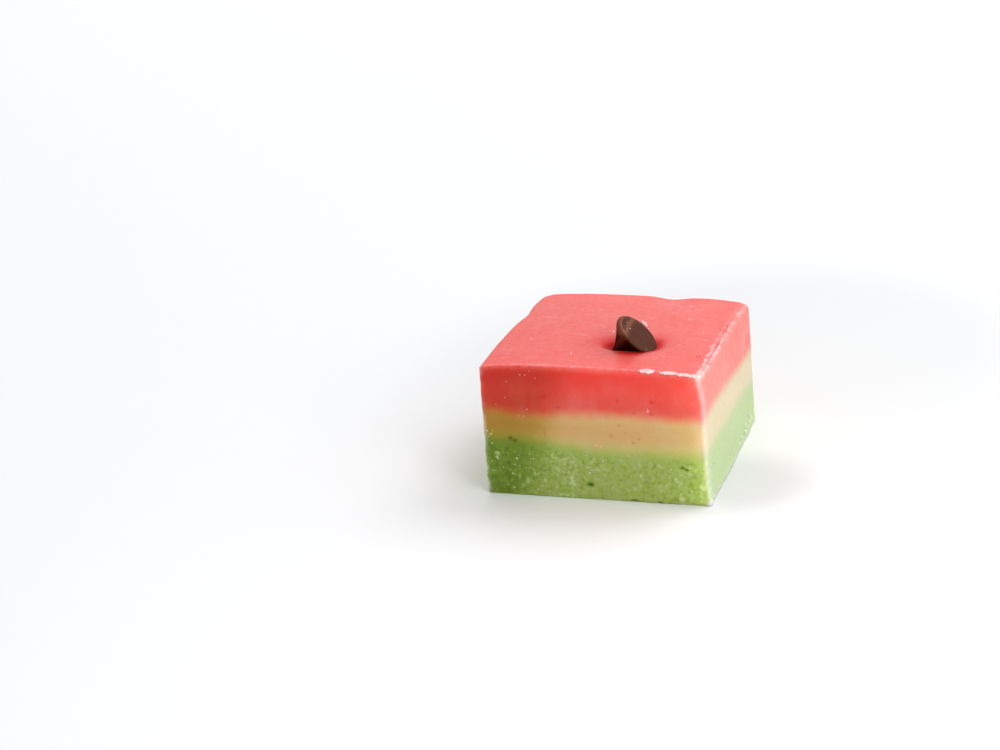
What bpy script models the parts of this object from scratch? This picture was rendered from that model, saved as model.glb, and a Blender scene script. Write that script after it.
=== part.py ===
"""Watermelon fudge: a cut square of three poured layers with one chocolate chip pressed into its top.

Metres, +Z up. The origin is under the middle of the square, on the surface that it stands on.
X runs across the front cut face and Y from the front face to the back one.
"""

import math

import bmesh
import bpy
from mathutils import Vector, noise

MM = 0.001

# Size of the square, cut from a poured slab
WIDTH = 29.0 * MM
DEPTH = 28.8 * MM
HEIGHT = 17.25 * MM
LAYER_GAP = 0.3 * MM

# The knife cuts are a little out of true
SKEW = 0.0197
TAPER = 0.011

# The cuts bow out: the right face below its top, the left face above its foot, and the front face at its foot
RIGHT_BOW = 0.45 * MM
RIGHT_BOW_ACROSS = (0.75, 1.0)
RIGHT_BOW_ALONG = (0.75, -0.5)
RIGHT_BOW_HEIGHT = (17.0 * MM, 13.3 * MM)
LEFT_BOW = 0.45 * MM
LEFT_BOW_ACROSS = (-0.75, -1.0)
LEFT_BOW_FRONT = (-1.0, -0.3)
LEFT_BOW_BACK = (1.1, 0.7)
LEFT_BOW_HEIGHT = (4.0 * MM, 12.0 * MM)
LEFT_DENT = 0.4 * MM
LEFT_DENT_ALONG = 0.4
LEFT_DENT_REACH = 0.17
FRONT_BOW = 0.3 * MM
FRONT_BOW_ALONG = (-0.75, -1.0)
FRONT_BOW_HEIGHT = (5.0 * MM, 0.0)

# The soft foot spreads a little along the right face and along the right half of the front face
RIGHT_SPREAD = 0.28 * MM
RIGHT_SPREAD_ALONG = (1.0, 0.6)
RIGHT_SPREAD_HEIGHT = (3.5 * MM, 0.4 * MM)
FRONT_SPREAD = 0.4 * MM
FRONT_SPREAD_ACROSS = (0.0, 0.7)
FRONT_SPREAD_HEIGHT = (4.0 * MM, 0.4 * MM)

# The poured top falls to the right and to the back, is crowned across, and has a shallow dip at the back edge
TOP_FALL = 0.2 * MM
CROWN = 0.47 * MM
DIP_DEPTH = 0.38 * MM
DIP_X = 3.9 * MM
DIP_WIDTH = 2.2 * MM
DIP_REACH = 3.0 * MM

# Heights of the two layer lines at even steps across the front face, and their rise and fall along the right face
PINK_LINE_FRONT = (11.8 * MM, 11.3 * MM, 11.5 * MM, 11.35 * MM, 11.15 * MM)
PINK_LINE_DEEPER = (0.0, 0.5 * MM, -0.05 * MM, -0.6 * MM, -0.85 * MM)
GREEN_LINE_FRONT = (8.3 * MM, 8.05 * MM, 7.25 * MM, 7.15 * MM, 6.95 * MM)
GREEN_LINE_DEEPER = (0.0, -0.05 * MM, -0.2 * MM, -0.65 * MM, -1.0 * MM)

# Roundings: the crisp cut edges, the worn right-hand top edge, and the upright corners by side (x, y)
EDGE_RADIUS = 0.4 * MM
WORN_RADIUS = 0.9 * MM
WORN_ACROSS = (0.6, 1.0)
WORN_ALONG = (-1.0, -0.8)
WORN_BACK = (0.4, 1.0)
WORN_BACK_SHARE = 0.4
FOOT_RADIUS = 0.25 * MM
FOOT_HEIGHTS = (0.08 * MM, 0.0)
CORNER_RADIUS = {(-1, -1): 0.5 * MM, (1, -1): 0.4 * MM, (1, 1): 1.1 * MM, (-1, 1): 1.2 * MM}

# Relief of the cut faces
WAVE_HEIGHT = 0.07 * MM
WAVE_LENGTH = 6.0 * MM
CRUMB_HEIGHT = 0.16 * MM
CRUMB_LENGTH = 1.5 * MM
CRUMB_START = 0.9 * MM
BURR_HEIGHT = 0.22 * MM
BURR_LENGTH = 0.9 * MM
RIGHT_FACE = (0.9, 1.0)
RIM_HEIGHT = 0.3 * MM
RIM_LENGTH = 1.1 * MM
RIM_BAND = 1.3 * MM
FOOT_FLARE = 0.25 * MM
FOOT_BAND = 1.0 * MM
FOOT_ACROSS = (0.9, 1.0)
FOOT_ALONG = (-0.8, -1.0)

# Crumbs pushed up on the front top edge: place along the edge and length of each
FLAKES = ((7.5 * MM, 2.3 * MM), (10.3 * MM, 1.6 * MM), (11.9 * MM, 1.3 * MM), (13.4 * MM, 1.7 * MM))
FLAKE_DEPTH = 0.75 * MM
FLAKE_THICKNESS = 0.5 * MM
FLAKE_SUNK = 0.12 * MM
FLAKE_UNEVEN = 0.35
FLAKE_BUMPS = 3.0

# Mini chocolate chip, lying on its side in the pink layer
CHIP_DIAMETER = 6.94 * MM
CHIP_LENGTH = 5.3 * MM
CHIP_CENTRE = Vector((4.34 * MM, -4.78 * MM, 19.1 * MM))
CHIP_TILT = math.radians(45)
CHIP_BEND = 1.0 * MM
CHIP_BEND_START = 0.6
CHIP_SIDES = 40
# Outline of the chip from its flat base to its tip: share of the length, and share of the radius
CHIP_OUTLINE = (
    (0.0, 0.84),
    (0.02, 0.91),
    (0.05, 0.96),
    (0.1, 0.945),
    (0.16, 0.88),
    (0.25, 0.765),
    (0.33, 0.67),
    (0.45, 0.555),
    (0.57, 0.44),
    (0.7, 0.33),
    (0.81, 0.215),
    (0.9, 0.125),
    (0.97, 0.045),
)

# Crease down the chip's near side, where it was squeezed: its turn round the chip at the base and at the tip,
# how much of the radius it takes off, and where that starts and ends, in turn past the crease and along the chip
CREASE_AT_BASE = math.radians(-113)
CREASE_AT_TIP = math.radians(-165)
CREASE_HOLLOW = 0.24
CREASE_STEP = (0.0, math.radians(16))
CREASE_END = (math.radians(105), math.radians(60))
CREASE_TOP = (0.01, 0.12)
CREASE_FOOT = (1.0, 0.6)

# Hollows that the chip pressed into the top: offset from the chip's centre, depth and reach
HOLLOWS = (
    (Vector((-3.3 * MM, -0.25 * MM)), 0.75 * MM, 1.65 * MM),
    (Vector((1.55 * MM, 0.2 * MM)), 0.6 * MM, 2.0 * MM),
    (Vector((-0.9 * MM, 0.5 * MM)), 1.3 * MM, 1.8 * MM),
)

# Mesh density
CELLS = 40
EDGE_CROWDING = 0.25
ROUND_ROWS = 2
PINK_ROWS = 5
CREAM_ROWS = 3
GREEN_ROWS = 9
SHARP_ANGLE = math.radians(50)
WELD = 0.001 * MM
RIM_TOLERANCE = 1e-6

# Colour (linear), roughness
PINK = ((0.80, 0.125, 0.115), 0.45)
CREAM = ((0.72, 0.52, 0.24), 0.5)
GREEN = ((0.29, 0.47, 0.10), 0.6)
CHOCOLATE = ((0.055, 0.018, 0.011), 0.35)


def ease(low, high, value):
    """0 below low, 1 above high, and a smooth step between."""
    t = min(max((value - low) / (high - low), 0.0), 1.0)
    return t * t * (3 - 2 * t)


def mix(a, b, share):
    return a + (b - a) * share


def hump(distance, reach):
    return math.exp(-((distance / reach) ** 2))


def curve_through(heights, t):
    """Smooth curve through evenly spaced heights, for t from -1 to 1."""
    last = len(heights) - 1
    place = (t + 1) / 2 * last
    k = min(max(int(place), 0), last - 1)
    part = place - k
    a, b = heights[k], heights[k + 1]
    before = heights[max(k - 1, 0)]
    after = heights[min(k + 2, last)]
    rise_a, rise_b = (b - before) / 2, (after - a) / 2
    p2, p3 = part * part, part**3
    return (
        (2 * p3 - 3 * p2 + 1) * a
        + (p3 - 2 * p2 + part) * rise_a
        + (3 * p2 - 2 * p3) * b
        + (p3 - p2) * rise_b
    )


def pink_line(u, v):
    return curve_through(PINK_LINE_FRONT, u) + curve_through(PINK_LINE_DEEPER, v)


def green_line(u, v):
    return curve_through(GREEN_LINE_FRONT, u) + curve_through(GREEN_LINE_DEEPER, v)


def top_height(u, v):
    """The poured top, before the chip went in."""
    dip = DIP_DEPTH * hump(u * WIDTH / 2 - DIP_X, DIP_WIDTH) * hump((1 - v) * DEPTH / 2, DIP_REACH)
    return HEIGHT - TOP_FALL * (u + v) + CROWN * (1 - u**4) - dip


def hollow_depth(x, y):
    """How far the chip drew the top down at this point."""
    here = Vector((x, y)) - CHIP_CENTRE.xy
    return sum(depth * hump((here - offset).length, reach) for offset, depth, reach in HOLLOWS)


def edge_radius(u, v):
    """Rounding of the top edge: worn along the right-hand side."""
    worn = ease(*WORN_ACROSS, u) * ease(*WORN_ALONG, v) * (1 - WORN_BACK_SHARE * ease(*WORN_BACK, v))
    return mix(EDGE_RADIUS, WORN_RADIUS, worn)


def plan(u, v, inset):
    """Point of the unit square laid on the block's plan, with round corners, and the way out from there."""
    x, y = u * (WIDTH / 2 - inset), v * (DEPTH / 2 - inset)
    side = (1 if u >= 0 else -1, 1 if v >= 0 else -1)
    radius = CORNER_RADIUS[side]
    from_x = abs(x) - (WIDTH / 2 - inset - radius)
    from_y = abs(y) - (DEPTH / 2 - inset - radius)
    if from_x > 0 and from_y > 0:
        a, b = from_x / radius, from_y / radius
        round_a, round_b = a * math.sqrt(1 - b * b / 2), b * math.sqrt(1 - a * a / 2)
        x += side[0] * (round_a - a) * radius
        y += side[1] * (round_b - b) * radius
        out = Vector((side[0] * round_a, side[1] * round_b)).normalized()
    elif abs(u) >= abs(v):
        out = Vector((side[0], 0.0))
    else:
        out = Vector((0.0, side[1]))
    return x, y, out


def bows(u, v, z):
    """How far the cuts bow out at this place of the block: to the right, to the left and to the front."""
    right = RIGHT_BOW * ease(*RIGHT_BOW_ALONG, v) * ease(*RIGHT_BOW_HEIGHT, z)
    right += RIGHT_SPREAD * ease(*RIGHT_SPREAD_ALONG, v) * ease(*RIGHT_SPREAD_HEIGHT, z)
    right *= ease(*RIGHT_BOW_ACROSS, u)
    along = LEFT_BOW * ease(*LEFT_BOW_FRONT, v) * ease(*LEFT_BOW_BACK, v)
    along -= LEFT_DENT * hump(v - LEFT_DENT_ALONG, LEFT_DENT_REACH)
    left = along * ease(*LEFT_BOW_ACROSS, u) * ease(*LEFT_BOW_HEIGHT, z)
    front = FRONT_BOW * (1 - u * u) * ease(*FRONT_BOW_HEIGHT, z)
    front += FRONT_SPREAD * ease(*FRONT_SPREAD_ACROSS, u) * ease(*FRONT_SPREAD_HEIGHT, z)
    front *= ease(*FRONT_BOW_ALONG, v)
    return right, left, front


def leaning(x, y, z):
    """The square with its skewed cuts, its slight taper and its bows."""
    right, left, front = bows(x / (WIDTH / 2), y / (DEPTH / 2), z)
    x *= 1 - TAPER * z / HEIGHT
    return Vector((x + right - left, y + SKEW * x - front, z))


def wall_relief(u, v, x, y, z):
    """How far the cut face stands out here."""
    place = Vector((x, y, z))
    out = WAVE_HEIGHT * noise.noise(place / WAVE_LENGTH)
    crumbly = ease(0.0, CRUMB_START, green_line(u, v) - CRUMB_START - z)
    out += crumbly * CRUMB_HEIGHT * noise.noise(place / CRUMB_LENGTH)
    right = ease(*RIGHT_FACE, u)
    burr = right * hump(z - top_height(u, v) + WORN_RADIUS / 2, WORN_RADIUS / 2)
    out += burr * BURR_HEIGHT * noise.noise(place / BURR_LENGTH)
    rim = right * ease(0.0, RIM_BAND, RIM_BAND - z)
    out += rim * RIM_HEIGHT * noise.noise(place / RIM_LENGTH)
    foot = ease(*FOOT_ACROSS, u) * ease(*FOOT_ALONG, v) * ease(0.0, FOOT_BAND, FOOT_BAND - z)
    return out + foot * FOOT_FLARE


def wall_point(u, v, z):
    """Point of the block's side at a height."""
    radius = edge_radius(u, v)
    above = z - (top_height(u, v) - radius)
    below = FOOT_RADIUS - z
    inset = 0.0
    if above > 0:
        inset = radius - math.sqrt(max(radius**2 - above**2, 0.0))
    elif below > 0:
        inset = FOOT_RADIUS - math.sqrt(FOOT_RADIUS**2 - below**2)
    x, y, out = plan(u, v, inset)
    stand = wall_relief(u, v, x, y, z)
    return leaning(x + out.x * stand, y + out.y * stand, z)


def top_point(u, v):
    x, y, _ = plan(u, v, edge_radius(u, v))
    return leaning(x, y, top_height(u, v) - hollow_depth(x, y))


def inner_point(u, v, z):
    """Point of a hidden face between two layers."""
    x, y, _ = plan(u, v, 0.0)
    return leaning(x, y, z)


def crowd(t):
    """Moves grid lines from the middle towards the edges."""
    return t + EDGE_CROWDING * math.sin(math.pi * t) / math.pi


def hide_faces(bm, faces):
    """Turns flat or hidden faces into one fan."""
    joined = faces
    if len(faces) > 1:
        joined = bmesh.ops.dissolve_faces(bm, faces=faces)["region"]
    bmesh.ops.poke(bm, faces=joined)


def block_in_rows(rows, open_top):
    """Unit block: a grid on top, walls of so many rows under it, and a fan below. Row k lies at height -k."""
    bm = bmesh.new()
    bmesh.ops.create_grid(bm, x_segments=CELLS, y_segments=CELLS, size=1.0)
    if not open_top:
        hide_faces(bm, bm.faces[:])
    rim = [edge for edge in bm.edges if edge.is_boundary]
    for _ in range(rows):
        made = bmesh.ops.extrude_edge_only(bm, edges=rim)["geom"]
        verts = [item for item in made if isinstance(item, bmesh.types.BMVert)]
        bmesh.ops.translate(bm, verts=verts, vec=(0.0, 0.0, -1.0))
        rim = [edge for edge in bm.edges if edge.is_boundary]
    base = bmesh.ops.contextual_create(bm, geom=rim)["faces"]
    hide_faces(bm, base)
    return bm


def layer(name, rows, row_point, open_top, finish):
    """One poured layer: the unit block with each vertex put in its place."""
    bm = block_in_rows(rows, open_top)
    for vert in bm.verts:
        u, v, row = crowd(vert.co.x), crowd(vert.co.y), round(-vert.co.z)
        vert.co = row_point(u, v, row)
    return finished(name, bm, finish)


def finished(name, bm, finish):
    bmesh.ops.recalc_face_normals(bm, faces=bm.faces[:])
    mesh = bpy.data.meshes.new(name)
    bm.to_mesh(mesh)
    bm.free()
    mesh.shade_smooth()
    mesh.set_sharp_from_angle(angle=SHARP_ANGLE)
    body = bpy.data.objects.new(name, mesh)
    bpy.context.scene.collection.objects.link(body)
    body.data.materials.append(material(name, *finish))
    return body


def material(name, colour, roughness):
    made = bpy.data.materials.new(name)
    made.use_nodes = True
    shader = made.node_tree.nodes["Principled BSDF"]
    shader.inputs["Base Color"].default_value = (*colour, 1.0)
    shader.inputs["Roughness"].default_value = roughness
    shader.inputs["Metallic"].default_value = 0.0
    made.diffuse_color = (*colour, 1.0)
    return made


def on_rim(u, v):
    return max(abs(u), abs(v)) > 1 - RIM_TOLERANCE


def pink_row(u, v, row):
    """Row 0 is the poured top, the next rows its rounded edge, and the last one meets the cream layer."""
    if row == 0:
        return top_point(u, v)
    low = pink_line(u, v) + LAYER_GAP / 2
    if not on_rim(u, v):
        return inner_point(u, v, low)
    radius = edge_radius(u, v)
    shoulder = top_height(u, v) - radius
    if row <= ROUND_ROWS:
        angle = math.pi / 2 * (1 - row / (ROUND_ROWS + 1))
        return wall_point(u, v, shoulder + radius * math.sin(angle))
    return wall_point(u, v, mix(shoulder, low, (row - ROUND_ROWS - 1) / PINK_ROWS))


def cream_row(u, v, row):
    high, low = pink_line(u, v) - LAYER_GAP / 2, green_line(u, v) + LAYER_GAP / 2
    z = mix(high, low, row / CREAM_ROWS)
    return wall_point(u, v, z) if on_rim(u, v) else inner_point(u, v, z)


def green_row(u, v, row):
    """The last two rows round the bottom edge."""
    high = green_line(u, v) - LAYER_GAP / 2
    walls = GREEN_ROWS - len(FOOT_HEIGHTS)
    z = mix(high, FOOT_RADIUS, row / walls) if row <= walls else FOOT_HEIGHTS[row - walls - 1]
    return wall_point(u, v, z) if on_rim(u, v) else inner_point(u, v, z)


def crease_hollow(share, angle):
    """Share of the chip's radius that the crease takes off."""
    past = angle - mix(CREASE_AT_BASE, CREASE_AT_TIP, min(max(share, 0.0), 1.0) ** 2)
    below = ease(*CREASE_STEP, past) * ease(*CREASE_END, past)
    return CREASE_HOLLOW * below * ease(*CREASE_TOP, share) * ease(*CREASE_FOOT, share)


def chip_body(bm, clearance):
    """Turned outline of the chip about Z, base up, with its tip drawn aside."""
    radius, length = CHIP_DIAMETER / 2, CHIP_LENGTH
    points = [(0.0, clearance)]
    for along, out in CHIP_OUTLINE:
        points.append((out * radius + clearance, clearance - along * (length + 2 * clearance)))
    points.append((0.0, -length - clearance))
    verts = [bm.verts.new((r, 0.0, z)) for r, z in points]
    edges = [bm.edges.new(pair) for pair in zip(verts, verts[1:])]
    bmesh.ops.spin(
        bm,
        geom=verts + edges,
        cent=(0.0, 0.0, 0.0),
        axis=(0.0, 0.0, 1.0),
        angle=math.tau,
        steps=CHIP_SIDES,
        use_merge=True,
    )
    bmesh.ops.remove_doubles(bm, verts=bm.verts[:], dist=WELD)
    for vert in bm.verts:
        share = -vert.co.z / length
        out = vert.co.xy.length
        if out > WELD:
            pressed = 1 - crease_hollow(share, math.atan2(vert.co.y, vert.co.x))
            vert.co.xy *= ((out - clearance) * pressed + clearance) / out
        past = max(share - CHIP_BEND_START, 0.0) / (1 - CHIP_BEND_START)
        vert.co.x -= CHIP_BEND * past**2


def chip(name, clearance=0.0):
    bm = bmesh.new()
    chip_body(bm, clearance)
    body = finished(name, bm, CHOCOLATE)
    body.location = CHIP_CENTRE
    body.rotation_euler = (0.0, CHIP_TILT, 0.0)
    return body


def cut_socket(body):
    """Hollows the pink layer where the chip lies in it."""
    cutter = chip("chip_socket_cutter", LAYER_GAP)
    cutter.hide_render = True
    cutter.display_type = "WIRE"
    cut = body.modifiers.new("chip socket", "BOOLEAN")
    cut.operation = "DIFFERENCE"
    cut.solver = "EXACT"
    cut.object = cutter


def flake(name, x, length):
    """A flat crumb lying along the front top edge."""
    bm = bmesh.new()
    bmesh.ops.create_icosphere(bm, subdivisions=2, radius=0.5)
    u, v = x / (WIDTH / 2), -1.0
    middle = wall_point(u, v, top_height(u, v) - FLAKE_SUNK)
    for vert in bm.verts:
        bump = 1 + FLAKE_UNEVEN * noise.noise(vert.co * FLAKE_BUMPS + Vector((x / MM, 0.0, 0.0)))
        size = Vector((vert.co.x * length, vert.co.y * FLAKE_DEPTH, vert.co.z * FLAKE_THICKNESS))
        vert.co = middle + size * bump
    return finished(name, bm, PINK)


def fuse_flakes(body):
    """Joins the crumbs to the pink layer, then drops their own objects."""
    crumbs = bpy.data.collections.new("front edge crumbs")
    bpy.context.scene.collection.children.link(crumbs)
    for number, (x, length) in enumerate(FLAKES, 1):
        crumb = flake(f"crumb_{number}", x, length)
        bpy.context.scene.collection.objects.unlink(crumb)
        crumbs.objects.link(crumb)
    join = body.modifiers.new("front edge crumbs", "BOOLEAN")
    join.operation = "UNION"
    join.solver = "EXACT"
    join.operand_type = "COLLECTION"
    join.collection = crumbs
    bpy.context.view_layer.objects.active = body
    bpy.ops.object.modifier_apply(modifier=join.name)
    for crumb in list(crumbs.objects):
        bpy.data.objects.remove(crumb)
    bpy.data.collections.remove(crumbs)


def clear_scene():
    for item in list(bpy.data.objects):
        bpy.data.objects.remove(item)


def main():
    clear_scene()
    pink = layer("pink_layer", ROUND_ROWS + 1 + PINK_ROWS, pink_row, True, PINK)
    layer("cream_layer", CREAM_ROWS, cream_row, False, CREAM)
    layer("green_layer", GREEN_ROWS, green_row, False, GREEN)
    fuse_flakes(pink)
    chip("chocolate_chip")
    cut_socket(pink)


main()
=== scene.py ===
import math

import bmesh
import bpy
import numpy as np
from bpy.props import FloatProperty, FloatVectorProperty, IntProperty, PointerProperty
from mathutils import Matrix, Vector


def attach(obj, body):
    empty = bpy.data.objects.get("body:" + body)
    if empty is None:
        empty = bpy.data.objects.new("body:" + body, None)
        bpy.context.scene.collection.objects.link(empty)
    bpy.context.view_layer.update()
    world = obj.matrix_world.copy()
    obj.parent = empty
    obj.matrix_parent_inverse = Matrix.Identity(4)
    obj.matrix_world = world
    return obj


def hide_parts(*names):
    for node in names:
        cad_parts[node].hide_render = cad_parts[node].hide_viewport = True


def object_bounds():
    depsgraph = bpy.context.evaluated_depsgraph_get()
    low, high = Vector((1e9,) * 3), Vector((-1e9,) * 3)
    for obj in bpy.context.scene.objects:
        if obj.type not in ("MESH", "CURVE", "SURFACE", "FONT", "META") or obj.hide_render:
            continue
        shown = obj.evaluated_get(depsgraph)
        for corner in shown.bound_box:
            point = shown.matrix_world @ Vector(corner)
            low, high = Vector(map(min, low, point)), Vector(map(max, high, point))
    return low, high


# A cut square of watermelon fudge: poured layers of pink, cream and green, with a chocolate chip pressed into
# the top. Metres, +Z up. X runs across the cut front face, and Y from the front face to the back one.

bl_info = {
    "name": "Watermelon fudge",
    "version": (1, 0, 0),
    "blender": (4, 5, 0),
    "location": "3D View > Sidebar > Fudge",
    "description": "Builds a cut square of layered fudge with its crumbs, chip, floor and light",
    "category": "Add Mesh",
}

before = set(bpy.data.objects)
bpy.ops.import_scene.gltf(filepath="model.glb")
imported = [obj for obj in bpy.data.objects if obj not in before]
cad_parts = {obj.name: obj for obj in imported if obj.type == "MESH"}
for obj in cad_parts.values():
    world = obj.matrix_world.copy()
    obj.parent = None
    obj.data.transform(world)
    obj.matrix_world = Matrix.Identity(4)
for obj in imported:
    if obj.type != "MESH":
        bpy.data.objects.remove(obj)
CAD_LOW, CAD_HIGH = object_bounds()

MM = 0.001

# Size and cut of the square, as in its solids
WIDTH = 29.0 * MM
DEPTH = 28.8 * MM
HEIGHT = 17.25 * MM
SKEW = 0.0197
TAPER = 0.011
RIGHT_BOW = 0.45 * MM
RIGHT_BOW_ACROSS = (0.75, 1.0)
RIGHT_BOW_ALONG = (0.75, -0.5)
RIGHT_BOW_HEIGHT = (17.0 * MM, 13.3 * MM)
LEFT_BOW = 0.45 * MM
LEFT_BOW_ACROSS = (-0.75, -1.0)
LEFT_BOW_FRONT = (-1.0, -0.3)
LEFT_BOW_BACK = (1.1, 0.7)
LEFT_BOW_HEIGHT = (4.0 * MM, 12.0 * MM)
LEFT_DENT = 0.4 * MM
LEFT_DENT_ALONG = 0.4
LEFT_DENT_REACH = 0.17
FRONT_BOW = 0.3 * MM
FRONT_BOW_ALONG = (-0.75, -1.0)
FRONT_BOW_HEIGHT = (5.0 * MM, 0.0)
RIGHT_SPREAD = 0.28 * MM
RIGHT_SPREAD_ALONG = (1.0, 0.6)
RIGHT_SPREAD_HEIGHT = (3.5 * MM, 0.4 * MM)
FRONT_SPREAD = 0.4 * MM
FRONT_SPREAD_ACROSS = (0.0, 0.7)
FRONT_SPREAD_HEIGHT = (4.0 * MM, 0.4 * MM)
TOP_FALL = 0.2 * MM
CROWN = 0.47 * MM
DIP_DEPTH = 0.38 * MM
DIP_X = 3.9 * MM
DIP_WIDTH = 2.2 * MM
DIP_REACH = 3.0 * MM

# Heights of the two layer lines at even steps across the front face, and their rise and fall from front to
# back
PINK_LINE_FRONT = (11.8 * MM, 11.3 * MM, 11.5 * MM, 11.35 * MM, 11.15 * MM)
PINK_LINE_DEEPER = (0.0, 0.5 * MM, -0.05 * MM, -0.6 * MM, -0.85 * MM)
GREEN_LINE_FRONT = (8.3 * MM, 8.05 * MM, 7.25 * MM, 7.15 * MM, 6.95 * MM)
GREEN_LINE_DEEPER = (0.0, -0.05 * MM, -0.2 * MM, -0.65 * MM, -1.0 * MM)

# Roundings: the crisp cut edges, the worn right-hand top edge, and the upright corners by side (x, y)
EDGE_RADIUS = 0.42 * MM
WORN_RADIUS = 0.85 * MM
FOOT_RADIUS = 0.2 * MM
CORNER_RADIUS = {(-1, -1): 0.45 * MM, (1, -1): 0.36 * MM, (1, 1): 1.1 * MM, (-1, 1): 1.2 * MM}
FOOT_FLARE = 0.2 * MM
FOOT_BAND = 1.0 * MM
FOOT_ACROSS = (0.88, 1.0)
FOOT_ALONG = (-0.75, -1.0)

# Hollows that the chip pressed into the top: offset from the chip's centre, depth and reach
CHIP_CENTRE = Vector((4.34 * MM, -4.78 * MM, 19.1 * MM))
HOLLOWS = (
    (Vector((-3.3 * MM, -0.25 * MM)), 0.75 * MM, 1.65 * MM),
    (Vector((1.55 * MM, 0.2 * MM)), 0.6 * MM, 2.0 * MM),
    (Vector((-0.9 * MM, 0.5 * MM)), 1.3 * MM, 1.8 * MM),
)

# Where the chip's near side meets the top
CHIP_CONTACT = (
    (0.8 * MM, -5.1 * MM),
    (1.6 * MM, -6.8 * MM),
    (2.6 * MM, -7.6 * MM),
    (3.95 * MM, -7.85 * MM),
    (5.2 * MM, -7.6 * MM),
    (6.3 * MM, -6.6 * MM),
    (6.5 * MM, -4.8 * MM),
    (6.3 * MM, -3.0 * MM),
)

# Painted shade of the chip on the pink beside it: place, reach and strength
CHIP_SHADES = (
    (0.2 * MM, -4.1 * MM, 3.0 * MM, 0.5),
    (0.45 * MM, -4.8 * MM, 0.7 * MM, 0.8),
    (6.2 * MM, -1.8 * MM, 1.6 * MM, 0.2),
)

# Mesh: rows round the top edge and, as shares of its height, round the foot, how far each layer's hidden side
# stands off its line, and the sharpest edge that is shaded smooth
ROUND_ROWS = 9
FOOT_ROWS = (0.5, 0.2, 0.0)
LAYER_LAP = 0.05 * MM
SMOOTH_ANGLE = math.radians(60)

# Skin of the block: slow waves by size, height and seed, and the sizes of its coarse and fine grain
WAVES = ((6 * MM, 0.05 * MM, 1), (1.7 * MM, 0.012 * MM, 2))
COARSE_GRAIN = 0.5 * MM
FINE_GRAIN = 0.26 * MM
LINE_BLEND = 1.0 * MM

# Crumb of the green faces: where it starts below the layer line, its patches, lumps and holes
CRUMB_STARTS = (0.4 * MM, 2.0 * MM)
CRUMB_PATCHES = 2.6 * MM
CRUMB_LUMPS = ((1.3 * MM, 0.15, 4), (0.66 * MM, 0.4, 5))
CRUMB_HOLES = 0.9 * MM
CRUMB_HEIGHT = 0.1 * MM
CRUMB_HOLE_DEPTH = 0.05 * MM

# Colour of the front face, painted light and shade: a deeper band under its top edge where light shines
# through it, painted shade at its left end, and painted light through its right
BAND_STARTS = (0.35 * MM, 0.8 * MM)
BAND_ENDS = (3.5 * MM, 1.2 * MM)
BAND_FADES = (1 * MM, 7 * MM)
SHADE_EDGE = -9.3 * MM
SHADE_SLOPE = 0.33
SHADE_REACH = 3.5 * MM
LIT_REACHES = (3.6 * MM, 1.3 * MM)
LIT_STOPS = 0.5 * MM

# Marks of the knife: streaks drawn out upwards, and small bubbles that it opened
STREAK_STRETCH = (1.0, 1.0, 0.15)
STREAK_SIZE = 0.8 * MM
STREAK_PATCHES = 4.5 * MM
BUBBLE_CELL = 1.7 * MM
BUBBLE_DEPTH = 0.06 * MM

# Painted shade on the top: darker towards the front, a painted contact shadow along the chip, and painted
# shade down in its hollows
TOP_FRONT_SHADE = (10 * MM, -12 * MM)
SCUFF_SLANT = 0.12
CHIP_CONTACT_SHADOW = 0.8 * MM
HOLLOW_SHADE = (0.05 * MM, 0.7 * MM)

# Groove along the right-hand top edge, and the torn ridge on either side of it: place across and width
GROOVE_REACH = 1.8 * MM
GROOVE_PLACE = (0.2 * MM, -0.6 * MM)
GROOVE_TURNS = (-14 * MM, 6 * MM)
GROOVE_STARTS = (-11 * MM, -7 * MM)
GROOVE_ENDS = (8 * MM, 4 * MM)
GROOVE_WANDER = ((1.6 * MM, 0.07 * MM, 32), (COARSE_GRAIN, 0.04 * MM, 30))
GROOVE_GAPS = 1.4 * MM
GROOVE_WIDTH = 0.1 * MM
GROOVE_DEPTH = 0.2 * MM
INNER_RIDGE = (-0.4 * MM, 0.2 * MM)
INNER_RIDGE_FADES = (-4 * MM, 7 * MM)
OUTER_RIDGE = (0.32 * MM, 0.24 * MM)
RIDGE_TEARS = 0.8 * MM
RIDGE_HEIGHT = 0.12 * MM
RIDGE_HAZE = (0.5 * MM, 0.6 * MM)
WORN_END = (-9 * MM, -13 * MM)
WORN_END_WIDTH = 0.55 * MM

# Front top edge: reach, the fine pale line along it, and the worn band
FRONT_EDGE_REACH = 1.0 * MM
FRONT_LINE_WIDTH = 0.08 * MM
FRONT_LINE_HEIGHT = 0.03 * MM
FRONT_LINE_WANDER = (3 * MM, 0.05 * MM, 41)
FRONT_LINE_GAPS = 0.4 * MM
FRONT_BAND_WIDTH = 0.42 * MM

# Right-hand face: how its painted sheen, for the glare of light across it, changes from front to back, and a
# pale blotch high up near the back edge
SHEEN_ALONG = (-8 * MM, 8 * MM)
BLOTCH_PLACE = (11 * MM, 13 * MM)
BLOTCH_REACH = (3 * MM, 2 * MM)
BLOTCH_GRAIN = 1.0 * MM

# Upright edges of the front face: how far the knife's pale drag, at the right-hand edge also a painted
# highlight, reaches over each side, and its roughness
RIGHT_DRAG_AND_HIGHLIGHT = (0.32 * MM, 1.4 * MM)
RIGHT_DRAG_WAVE = 1.5 * MM
RIGHT_DRAG_ROUGH = 0.03 * MM
RIGHT_HAZE_AND_GLOW = 1.1 * MM
LEFT_DRAG = 0.45 * MM
LEFT_DRAG_PATCHES = 0.9 * MM
LEFT_DRAG_ROUGH = 0.06 * MM

# Rough rim along the right-hand bottom edge
RIM_REACH = 0.95 * MM
RIM_ROUGH = 0.03 * MM
RIM_LUMPS = (1.1 * MM, 0.07 * MM, 52)
FOOT_ROUGH = 0.06 * MM
FOOT_PALE = 0.4 * MM
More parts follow.
